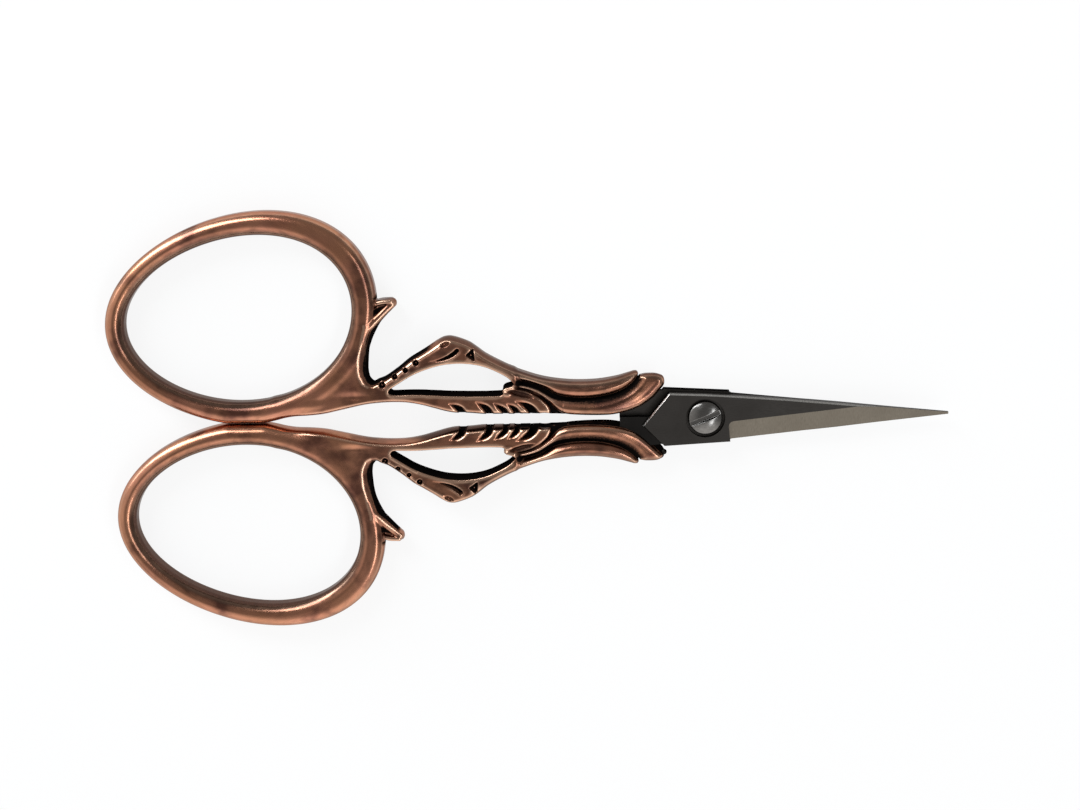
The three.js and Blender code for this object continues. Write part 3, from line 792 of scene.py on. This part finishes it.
def at_plan(grid, points):
    """An even plan grid's value under each point."""
    return sampled(grid, (even_x, even_y), points)


def top_of(field):
    """Height of the face above the middle plane, at even spacing."""
    solid = field < 0
    last = np.clip(len(half_z) - 1 - solid[:, :, ::-1].argmax(axis=2), 0, len(half_z) - 2)
    rows, columns = np.indices(last.shape)
    low = field[rows, columns, last]
    high = field[rows, columns, last + 1]
    rise = (half_z[1] - half_z[0]) * np.clip(low / (low - high - 1e-9), 0, 1)
    return evened(np.where(solid.any(axis=2), half_z[last] + rise, 0))


upper_top = top_of(lapped_field)
lower_top = top_of(half_field)


def hollowed(sigma_cells):
    """How far each vertex lies below the mean height of its own side's face around it."""
    on_upper = at_plan(blurred(upper_top, sigma_cells) - upper_top, vertices)
    on_lower = at_plan(blurred(lower_top, sigma_cells) - lower_top, vertices)
    return np.where(vertices[:, 2] > 0, on_upper, on_lower)


def measured():
    """What the areas are measured by, at each vertex."""
    x, y, z = vertices.T
    bow_x = x - OPENING_MIDDLE[0]
    bow_y = y - OPENING_MIDDLE[1]
    from_bow = np.maximum(np.hypot(bow_x, bow_y), 1e-6)
    groove_line = curve_through(GROOVE)
    return {
        "x": x,
        "y": y,
        "height": np.abs(z),
        "north": normals[:, 1],
        "up": normals[:, 2],
        "facing": np.abs(normals[:, 2]),
        "inward": -(normals[:, 0] * bow_x + normals[:, 1] * bow_y) / from_bow,
        "on_ring": (at_plan(evened(plans["ring"]), vertices) < RING_MARGIN).astype(float),
        "window": np.abs(at_plan(evened(plans["window"]), vertices)),
        "carved": at_plan(evened(plans["carved"]), vertices),
        "lens": area_distance(np.array(LENS), x, y),
        "groove": line_distance(GROOVE, x, y)[0],
        "above_groove": (y >= np.interp(x, groove_line[:, 0], groove_line[:, 1])).astype(float),
        "petal_rise": y - PETAL_RISE_SLOPE * np.maximum(x - PETAL_RISE_START, 0),
        "brim": line_distance(SPUR_BRIM, x, y)[0],
        "ridge": line_distance(SPUR_RIDGE, x, y)[0],
        "from_neck": point_distance(NECK, x, y),
    }


def cut_black(here):
    """The black of the deep cuts, less on the beads and in the shallow ones."""
    x = here["x"]
    y = here["y"]
    black = smooth_step(*CUT_EDGE, here["carved"])
    on_top = smooth_step(*BEAD_TOP, here["height"])
    for bead in BEADS:
        on_bead = smooth_step(bead[2] + BEAD_EDGE, bead[2] - BEAD_EDGE, point_distance(bead, x, y))
        black = black * (1 - BEAD_SHINE * on_bead * on_top)
    for dimple in DIMPLES:
        in_dimple = smooth_step(dimple[2] + DIMPLE_EDGE, dimple[2], point_distance(dimple, x, y))
        black = black * (1 - DIMPLE_SHINE * in_dimple)
    return black * (1 - PIT_SHINE * smooth_step(*PIT_EDGE, point_distance(PEAK_PIT, x, y)))


def wear_and_highlight_at(here, crest):
    """Bright wear on crests and raised lines, which is partly a painted highlight."""
    worn = smooth_step(*WEAR_AND_HIGHLIGHT_CREST, crest) * area([FACE], here)
    for line, width in WEAR_AND_HIGHLIGHT_LINES:
        away, _ = line_distance(line, here["x"], here["y"])
        on_line = smooth_step(width, WEAR_AND_HIGHLIGHT_LINE_CORE * width, away) * area(WEAR_AND_HIGHLIGHT_LINE_AREA, here)
        worn = np.maximum(worn, WEAR_AND_HIGHLIGHT_LINE_WEIGHT * on_line)
    return worn * smooth_step(*WEAR_AND_HIGHLIGHT_OFF_NECK, point_distance(NECK_CREST, here["x"], here["y"]))


def brushing(on_ring):
    """Coordinates for the brushed grain: round the bow on its ring, and along the shank elsewhere."""
    bow_x = vertices[:, 0] - OPENING_MIDDLE[0]
    bow_y = vertices[:, 1] - OPENING_MIDDLE[1]
    round_bow = np.abs(np.arctan2(bow_y, bow_x)) * RING_GRAIN_RADIUS
    across = vertices[:, 2] + RING_GRAIN_DRIFT * bow_y
    on_bow = np.stack([round_bow, np.hypot(bow_x, bow_y), across], axis=1)
    return np.where(on_ring[:, None] > 0, on_bow, vertices)


here = measured()
fine_hollow = hollowed(FINE_HOLLOW[0])
broad_hollow = hollowed(BROAD_HOLLOW[0])
hollow = smooth_step(*FINE_HOLLOW[1:], fine_hollow) + smooth_step(*BROAD_HOLLOW[1:], broad_hollow)
hollow = np.clip(hollow, 0, 1) * area([FACE], here)
# Wear on crests and raised lines, partly a painted highlight
worn = wear_and_highlight_at(here, -fine_hollow)
black = np.maximum.reduce([strongest(BLACK_AREAS, here), hollow, cut_black(here)])
black = black * (1 - strongest(BARE_AREAS, here)) * (1 - WEAR_AND_HIGHLIGHT_CLEANS * worn)
looks = {
    "patina": np.maximum(black, strongest(LATE_BLACK_AREAS, here)),
    # Wear, partly a painted highlight
    "worn": worn,
    # The brown also paints shade on the bow's inner side and on walls facing along Y
    "tarnish": strongest(SHADE_AND_BROWN_AREAS, here),
    "grain": brushing(here["on_ring"]),
}


# Materials

class Shading:
    """Short ways to add nodes to a material's or the world's node tree."""

    def __init__(self, tree):
        self.nodes = tree.nodes
        self.links = tree.links

    def feed(self, socket, value):
        """Sets a socket to a number, a vector or a colour, or links it."""
        if isinstance(value, bpy.types.NodeSocket):
            self.links.new(value, socket)
        elif isinstance(value, tuple) and len(value) < len(socket.default_value):
            socket.default_value = (*value, 1)
        else:
            socket.default_value = value

    def add(self, kind, output, inputs, **settings):
        """Adds a node, feeds its inputs and gives one of its outputs."""
        node = self.nodes.new("ShaderNode" + kind)
        for name, value in settings.items():
            setattr(node, name, value)
        for socket, value in inputs.items():
            self.feed(node.inputs[socket], value)
        return node.outputs[output]

    def kept(self, name, output="Fac"):
        """What is stored at each vertex under a name."""
        return self.add("Attribute", output, {}, attribute_name=name)

    def place(self, system="Object"):
        return self.add("TexCoord", system, {})

    def noise(self, vector, scale, detail, stretch):
        mapped = self.add("Mapping", "Vector", {"Vector": vector, "Scale": stretch})
        return self.add("TexNoise", "Fac", {"Vector": mapped, "Scale": scale, "Detail": detail})

    def ranged(self, value, low, high, to_low, to_high, kind="LINEAR"):
        inputs = {"Value": value, "From Min": low, "From Max": high, "To Min": to_low, "To Max": to_high}
        return self.add("MapRange", "Result", inputs, interpolation_type=kind)

    def math(self, operation, a, b):
        return self.add("Math", "Value", {0: a, 1: b}, operation=operation)

    def mix(self, factor, a, b):
        """A mix of two colours, which are a mix node's third pair of inputs."""
        return self.add("Mix", 2, {0: factor, 6: a, 7: b}, data_type="RGBA")

    def mix_numbers(self, factor, a, b):
        return self.add("Mix", 0, {0: factor, 2: a, 3: b}, data_type="FLOAT")

    def bump(self, height, strength, distance, **more):
        inputs = {"Height": height, "Strength": strength, "Distance": distance, **more}
        return self.add("Bump", "Normal", inputs)


def new_material(name):
    made = bpy.data.materials.new(name)
    made.use_nodes = True
    return made, Shading(made.node_tree), made.node_tree.nodes["Principled BSDF"].inputs


# Noises: scale, detail and stretch. The scales of the stains and the steel are for metres, the rest for mm.
ALIKE = (1.0, 1.0, 1.0)
STREAKS = (1.0, 4.0, (0.35, 9.0, 9.0))
CLOUDS = (0.35, 3.0, (0.6, 1.0, 1.0))
SPECKS = (6.0, 4.0, ALIKE)
PATCHES = (0.16, 2.0, ALIKE)
SMUDGES = (0.8, 5.0, (0.7, 1.0, 1.0))
STAINS = (190.0, 4.0, ALIKE)
STEEL_CLOUDS = (260.0, 3.0, ALIKE)
STEEL_LINE_DETAIL = 3.0

COPPER_DEEP = (0.485, 0.198, 0.121)
COPPER_LIGHT = (0.58, 0.252, 0.16)
COPPER_YELLOW = (0.47, 0.232, 0.115)
COPPER_BRUSHED = (0.27, 0.11, 0.068)
STAIN_COLOUR = (0.12, 0.046, 0.034)
SMUDGE_COLOUR = (0.17, 0.076, 0.048)
# Brown of the tarnish, also used as painted shade
SHADE_AND_BROWN = (0.045, 0.022, 0.017)
# Lighter copper of the wear, partly a painted highlight
WEAR_AND_HIGHLIGHT_COPPER = (0.72, 0.45, 0.31)
BLACK = (0.005, 0.0038, 0.0035)
COPPER_GRAZING = (0.62, 0.56, 0.53, 1)
WEAR_AND_HIGHLIGHT_SHARE = 0.8
COPPER_ROUGHNESS = (0.17, 0.3)
BLACK_ROUGHNESS = 0.7
COAT_WEIGHT = 0.16
COAT_ROUGHNESS = 0.12
STREAK_BUMP = (0.1, 0.00003)  # strength, depth in metres
SPECK_BUMP = (0.08, 0.00004)
STEEL_LINE_DEPTH = 0.00002


def copper_material():
    made, tree, shader = new_material("antique_copper")
    grain = tree.kept("grain", "Vector")
    tarnish = tree.kept("tarnish")
    streaks = tree.noise(grain, *STREAKS)
    specks = tree.noise(grain, *SPECKS)
    cloudy = tree.ranged(tree.noise(grain, *CLOUDS), 0.35, 0.65, 0, 1)
    colour = tree.mix(cloudy, COPPER_DEEP, COPPER_LIGHT)
    patchy = tree.ranged(tree.noise(grain, *PATCHES), 0.35, 0.65, 0, 0.5)
    colour = tree.mix(patchy, colour, COPPER_YELLOW)
    colour = tree.mix(tree.ranged(streaks, 0.35, 0.7, 0, 0.4), colour, COPPER_BRUSHED)
    stained = tree.ranged(tree.noise(tree.place(), *STAINS), 0.52, 0.66, 0, 0.85)
    colour = tree.mix(stained, colour, STAIN_COLOUR)
    smudged = tree.ranged(tree.noise(grain, *SMUDGES), 0.46, 0.72, 0, 0.75)
    smudged = tree.math("MULTIPLY", smudged, tree.ranged(tarnish, 0, 0.2, 0.35, 1.0))
    colour = tree.mix(smudged, colour, SMUDGE_COLOUR)
    # Brown tarnish, which also paints shade on the bow's inner side and on walls facing along Y
    aged_and_shaded = tree.math("MULTIPLY", tarnish, tree.ranged(specks, 0.25, 0.6, 0.82, 0.96))
    colour = tree.mix(aged_and_shaded, colour, SHADE_AND_BROWN)
    # Lighter copper for wear, partly a painted highlight on crests and raised lines
    colour = tree.mix(tree.math("MULTIPLY", tree.kept("worn"), WEAR_AND_HIGHLIGHT_SHARE), colour, WEAR_AND_HIGHLIGHT_COPPER)
    ragged = tree.ranged(specks, 0.3, 0.7, -0.14, 0.14)
    dark = tree.ranged(tree.math("ADD", tree.kept("patina"), ragged), 0.15, 0.85, 0, 1)
    tree.feed(shader["Base Color"], tree.mix(dark, colour, BLACK))
    tree.feed(shader["Metallic"], tree.ranged(dark, 0, 1, 1.0, 0.0))
    shader["Specular IOR Level"].default_value = 0.0
    shader["Specular Tint"].default_value = COPPER_GRAZING
    tree.feed(shader["Coat Weight"], tree.ranged(dark, 0, 0.5, COAT_WEIGHT, 0.0))
    shader["Coat Roughness"].default_value = COAT_ROUGHNESS
    gloss = tree.ranged(streaks, 0.3, 0.7, *COPPER_ROUGHNESS)
    tree.feed(shader["Roughness"], tree.mix_numbers(dark, gloss, BLACK_ROUGHNESS))
    fine = tree.bump(streaks, *STREAK_BUMP)
    tree.feed(shader["Normal"], tree.bump(specks, *SPECK_BUMP, Normal=fine))
    return made


def steel_material(name, colours, roughness, stretch, scale, bump, grazing=0.6):
    """Satin steel with fine lines: stretch gives the lines' direction."""
    made, tree, shader = new_material(name)
    place = tree.place()
    lines = tree.noise(place, scale, STEEL_LINE_DETAIL, stretch)
    cloudy = tree.ranged(tree.noise(place, *STEEL_CLOUDS), 0.3, 0.7, 0, 1)
    tone = tree.mix(cloudy, colours[0], colours[1])
    lined = tree.mix(tree.ranged(lines, 0.35, 0.65, 0, 0.6), tone, colours[2])
    tree.feed(shader["Base Color"], lined)
    shader["Specular Tint"].default_value = (grazing, grazing, grazing, 1)
    shader["Metallic"].default_value = 1.0
    tree.feed(shader["Roughness"], tree.ranged(lines, 0.3, 0.7, *roughness))
    tree.feed(shader["Normal"], tree.bump(lines, bump, STEEL_LINE_DEPTH))
    return made


copper = copper_material()
gunmetal = steel_material(
    "gunmetal", ((0.049, 0.044, 0.04), (0.062, 0.056, 0.051), (0.036, 0.033, 0.03)), (0.32, 0.46),
    (0.3, 1.0, 1.0), 5200.0, 0.12,
)
ground = steel_material(
    "ground_steel", ((0.15, 0.13, 0.104), (0.168, 0.147, 0.118), (0.131, 0.113, 0.09)), (0.36, 0.5),
    (1.0, 0.05, 0.3), 14000.0, 0.2,
)
polished = steel_material(
    "polished_steel", ((0.16, 0.152, 0.142), (0.19, 0.181, 0.17), (0.128, 0.121, 0.114)), (0.16, 0.28),
    (0.4, 1.0, 1.0), 4200.0, 0.15,
)
# Bright steel for the chamfers of one side: a painted highlight
painted_highlight_steel = steel_material(
    "painted_highlight_steel", ((0.56, 0.54, 0.51), (0.64, 0.62, 0.59), (0.46, 0.445, 0.42)), (0.2, 0.36),
    ALIKE, 4200.0, 0.15,
)
# Black steel for the roots and the stop, also painted shade on the rear blade's walls and in the screw's slot
black_and_shade_steel = steel_material(
    "black_steel_and_painted_shade", ((0.016, 0.0145, 0.0135), (0.024, 0.022, 0.02), (0.011, 0.01, 0.0095)), (0.36, 0.5),
    ALIKE, 4200.0, 0.15, 0.08,
)


# Handles

def handle(name, node, body, points, directions):
    made = mesh_object(name, points, faces, directions)
    for look, values in looks.items():
        store(made, look, values)
    made.data.materials.append(copper)
    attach(made, body)
    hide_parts(node)


handle("rear_handle_casting", "rear_handle", "rear_half", vertices, normals)
handle("front_handle_casting", "front_handle", "front_half", turned_over(vertices), turned_over(normals))


# Blades: the imported solids with fine worn edges, a painted highlight on the chamfers of one side, and
# painted shade on the rear blade's walls

EDGE_ROUNDING = 0.04
ROOT_CUT = -11.7  # the root ends here, between the closed handles
ROOT_BLACK = -6.6  # and is black up to here
BEVEL_FACING = (0.8, 0.985)
BEVEL_LEAST_AREA = 1e-6
CHAMFER_FACING = (0.5, 0.8)
SIDE_FACING = 0.3
FLAT_ANGLE = math.radians(1.0)
SHARP_ANGLE = math.radians(12)
MERGE_DISTANCE = 1e-6
CUT_DISTANCE = 1e-7
SHADING_WEIGHT = 100


def blade_steel(face, middle, outer_side):
    """The index of a face's steel: the body, the ground bevel, the chamfer with its painted highlight, or the
    black, which also paints shade on the rear blade's walls.
    """
    tilt = abs(face.normal.z)
    if BEVEL_FACING[0] < tilt < BEVEL_FACING[1] and face.calc_area() > BEVEL_LEAST_AREA:
        return 1
    # Painted highlight: the chamfers facing the outer side take the bright steel
    if CHAMFER_FACING[0] < tilt < CHAMFER_FACING[1] and outer_side * face.normal.y > 0:
        return 2
    # Black roots, and painted shade on the rear blade's walls
    if middle.x < ROOT_BLACK or (outer_side < 0 and tilt < SIDE_FACING):
        return 3
    return 0


def blade(name, node, body, outer_side):
    """outer_side is 1 where the chamfer with its painted highlight is at positive Y, and -1 where it is at
    negative Y; at -1 the walls also take painted shade.
    """
    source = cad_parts[node]
    mesh = source.data.copy()
    mesh.name = name
    mesh.materials.clear()
    for steel in (gunmetal, ground, painted_highlight_steel, black_and_shade_steel):
        mesh.materials.append(steel)
    made = new_object(name, mesh)
    made.matrix_world = source.matrix_world.copy()
    work = bmesh.new()
    work.from_mesh(mesh)
    bmesh.ops.remove_doubles(work, verts=work.verts, dist=MERGE_DISTANCE)
    bmesh.ops.dissolve_limit(work, angle_limit=FLAT_ANGLE, verts=work.verts, edges=work.edges)
    cut = bmesh.ops.bisect_plane(
        work, geom=work.verts[:] + work.edges[:] + work.faces[:], dist=CUT_DISTANCE,
        plane_co=((PIVOT[0] + ROOT_CUT) * MM, 0, 0), plane_no=(1, 0, 0), clear_inner=True,
    )
    rim = [e for e in cut["geom_cut"] if isinstance(e, bmesh.types.BMEdge)]
    bmesh.ops.holes_fill(work, edges=rim, sides=0)
    work.normal_update()
    for face in work.faces:
        middle = (made.matrix_world @ face.calc_center_median()) / MM - Vector(PIVOT)
        face.material_index = blade_steel(face, middle, outer_side)
    sharp = [e for e in work.edges if len(e.link_faces) == 2 and e.calc_face_angle() > SHARP_ANGLE]
    bmesh.ops.bevel(
        work, geom=sharp, offset=EDGE_ROUNDING * MM, segments=2, profile=0.5, affect="EDGES",
        clamp_overlap=True, offset_type="OFFSET",
    )
    work.to_mesh(mesh)
    work.free()
    mesh.shade_smooth()
    weighted = made.modifiers.new("even_shading", "WEIGHTED_NORMAL")
    weighted.keep_sharp = False
    weighted.weight = SHADING_WEIGHT
    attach(made, body)
    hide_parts(node)


blade("rear_blade_ground", "rear_blade", "rear_half", -1)
blade("front_blade_ground", "front_blade", "front_half", 1)


# Pivot screw

SCREW_RADIUS = 1.5
SCREW_END = -1.45
SCREW_SHANK_TOP = 1.0
HEAD_RADIUS = 2.36
HEAD_SEAT = 0.95
HEAD_RIM = 1.4
HEAD_TOP = 2.05
HEAD_ROUNDING = 0.3
SCREW_ROUNDING = 0.08
SCREW_BLEND = 0.02
SLOT_HALF_WIDTH = 0.33
SLOT_FLOOR = 1.45
SLOT_ANGLE = math.radians(22)
SLOT_ROUNDING = 0.05
SLOT_LIP_ROUNDING = 0.1
# Painted shade in the slot: how far the black steel reaches
SLOT_BLACK_MARGIN = (0.05, 0.1)  # beside the slot and below its floor
SLOT_BLACK_FACING = 0.55
SCREW_GRID = 0.06
SCREW_GRID_SIDE = (-2.52, 2.53)
SCREW_GRID_RISE = (-1.63, 2.25)


def across_slot(x, y):
    return -x * math.sin(SLOT_ANGLE) + y * math.cos(SLOT_ANGLE)


def screw_field(x, y, z):
    away = np.hypot(x, y)
    end = np.abs(z - (SCREW_END + SCREW_SHANK_TOP) / 2) - (SCREW_SHANK_TOP - SCREW_END) / 2
    shank = smooth_max(away - SCREW_RADIUS, end, SCREW_ROUNDING)
    rise = HEAD_TOP - HEAD_RIM
    sphere = (HEAD_RADIUS**2 + rise**2) / (2 * rise)
    dome = np.sqrt(away**2 + (z - HEAD_TOP + sphere) ** 2) - sphere
    head = smooth_max(smooth_max(away - HEAD_RADIUS, dome, HEAD_ROUNDING), HEAD_SEAT - z, SCREW_ROUNDING)
    slot = smooth_max(np.abs(across_slot(x, y)) - SLOT_HALF_WIDTH, SLOT_FLOOR - z, SLOT_ROUNDING)
    return smooth_max(smooth_min(head, shank, SCREW_BLEND), -slot, SLOT_LIP_ROUNDING)


screw_side = np.arange(*SCREW_GRID_SIDE, SCREW_GRID)
screw_axes = (screw_side, screw_side, np.arange(*SCREW_GRID_RISE, SCREW_GRID))
screw_values = screw_field(*np.meshgrid(*screw_axes, indexing="ij"))
screw = mesh_object("pivot_screw_slotted", *meshed(screw_values, screw_axes, 1))
screw.data.materials.append(polished)
screw.data.materials.append(black_and_shade_steel)
# Painted shade: the walls of the slot take the black steel
for face in screw.data.polygons:
    middle = face.center / MM - Vector(PIVOT)
    beside = abs(across_slot(middle.x, middle.y)) - SLOT_HALF_WIDTH
    in_slot = beside < SLOT_BLACK_MARGIN[0] and middle.z > SLOT_FLOOR - SLOT_BLACK_MARGIN[1]
    face.material_index = 1 if in_slot and face.normal.z < SLOT_BLACK_FACING else 0
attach(screw, "rear_half")
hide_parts("pivot_screw")


# A small black stop at the end of the front handle's inner petal

STOP_PLACE = np.array([-5.66, -4.9, 0.35])
STOP_RADIUS = 0.4
STOP_GRID = 0.06
STOP_GRID_SIDE = (-0.6, 0.61)

stop_axes = (np.arange(*STOP_GRID_SIDE, STOP_GRID),) * 3
stop_x, stop_y, stop_z = np.meshgrid(*stop_axes, indexing="ij")
stop_field = np.sqrt(stop_x**2 + stop_y**2 + stop_z**2) - STOP_RADIUS
stop_points, stop_faces, stop_normals = meshed(stop_field, stop_axes, 1)
stop = mesh_object("front_handle_stop", stop_points + STOP_PLACE, stop_faces, stop_normals)
stop.data.materials.append(black_and_shade_steel)
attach(stop, "front_half")


# Floor, which is pale to the camera and in reflections, and keeps the shadow

FLOOR_REACH = 3.0
PAPER = (0.9, 0.9, 0.9)
PAPER_ROUGHNESS = 0.9
GLOW_SHARE = 0.86

floor_mesh = bpy.data.meshes.new("floor")
corners = [(FLOOR_REACH * i, FLOOR_REACH * j, 0) for i, j in ((-1, -1), (1, -1), (1, 1), (-1, 1))]
floor_mesh.from_pydata(corners, [], [(0, 1, 2, 3)])
floor = new_object("floor", floor_mesh)
paper, tree, shader = new_material("pale_paper")
tree.feed(shader["Base Color"], PAPER)
tree.feed(shader["Roughness"], PAPER_ROUGHNESS)
floor_mesh.materials.append(paper)
path = tree.nodes.new("ShaderNodeLightPath").outputs
seen = tree.math("MAXIMUM", path["Is Camera Ray"], path["Is Glossy Ray"])
seen = tree.math("MAXIMUM", seen, path["Is Transmission Ray"])
glow = tree.add("Emission", "Emission", {"Strength": 1.0})
plain = tree.nodes["Principled BSDF"].outputs["BSDF"]
share = tree.math("MULTIPLY", seen, GLOW_SHARE)
blend = tree.add("MixShader", "Shader", {0: share, 1: plain, 2: glow})
tree.feed(tree.nodes["Material Output"].inputs["Surface"], blend)


# Light: an even sky with two broad soft lobes, and three long soft boxes

SKY_LEVEL = 0.27
LOBES = [  # direction, spread in degrees, strength
    ((0.09, -0.9, 0.3), 62, 1.15),
    ((-0.94, 0.1, 0.3), 58, 0.65),
]
LAMPS = [  # name, place, direction of its length, length, width, power
    ("key", (-0.456, 0.544, 0.36), (-0.66, -0.04, -0.73), 0.8, 0.25, 5.2),
    ("rim", (0.45, -0.12, 0.78), (0.2, 1.0, 0.0), 0.9, 0.16, 2.5),
    ("low", (-0.708, 0.355, 0.14), (0.45, 0.9, 0.0), 0.36, 0.16, 0.5),
]
LAMP_COLOUR = (0.95, 1.0, 1.05)

world = bpy.data.worlds.new("studio")
bpy.context.scene.world = world
world.use_nodes = True
sky = Shading(world.node_tree)
direction = sky.place("Generated")
light = SKY_LEVEL
for towards, spread, strength in LOBES:
    middle = tuple(Vector(towards).normalized())
    along = sky.add("VectorMath", "Value", {0: direction, 1: middle}, operation="DOT_PRODUCT")
    edge = math.cos(math.radians(spread))
    lobe = sky.ranged(along, edge, 1.0, 0.0, strength, "SMOOTHSTEP")
    light = sky.math("ADD", lobe, light)
background = sky.nodes["Background"].inputs
background["Color"].default_value = (1.0, 1.0, 1.0, 1.0)
sky.feed(background["Strength"], light)

for name, place, along, length, width, power in LAMPS:
    lamp_data = bpy.data.lights.new(name, "AREA")
    lamp_data.shape = "RECTANGLE"
    lamp_data.size = length
    lamp_data.size_y = width
    lamp_data.energy = power
    lamp_data.color = LAMP_COLOUR
    lamp = new_object(name, lamp_data)
    back = Vector(place).normalized()
    side = (Vector(along) - back * Vector(along).dot(back)).normalized()
    turned = Matrix((side, back.cross(side), back)).transposed()
    lamp.matrix_world = Matrix.Translation(place) @ turned.to_4x4()


# The camera that took the photograph, fitted to the pivot, the tips and the bows

CAMERA_TURN = (12.4636, -0.8504, 1.0286)
CAMERA_SHIFT = np.array([0.0011, -2.2613, -259.8242])
CAMERA_ORIGIN = np.array([-22.642, 0.0, 2.1])
FOCAL_PIXELS = 1900.0
PHOTO_WIDTH = 1080.0
SENSOR = 36.0
CLIP_START = 0.005


def turn_about(axis, degrees):
    return np.array(Matrix.Rotation(math.radians(degrees), 3, axis))


turn = turn_about("X", CAMERA_TURN[0]) @ turn_about("Y", CAMERA_TURN[1]) @ turn_about("Z", CAMERA_TURN[2])
eye = (-turn.T @ CAMERA_SHIFT + CAMERA_ORIGIN + PIVOT) * MM
camera_data = bpy.data.cameras.new("camera")
camera_data.sensor_width = SENSOR
camera_data.sensor_fit = "HORIZONTAL"
camera_data.lens = SENSOR * FOCAL_PIXELS / PHOTO_WIDTH
camera_data.clip_start = CLIP_START
camera = new_object("camera", camera_data)
camera.matrix_world = Matrix.Translation(Vector(eye)) @ Matrix(turn.T.tolist()).to_4x4()
bpy.context.scene.camera = camera
bpy.context.scene.view_settings.view_transform = "Standard"
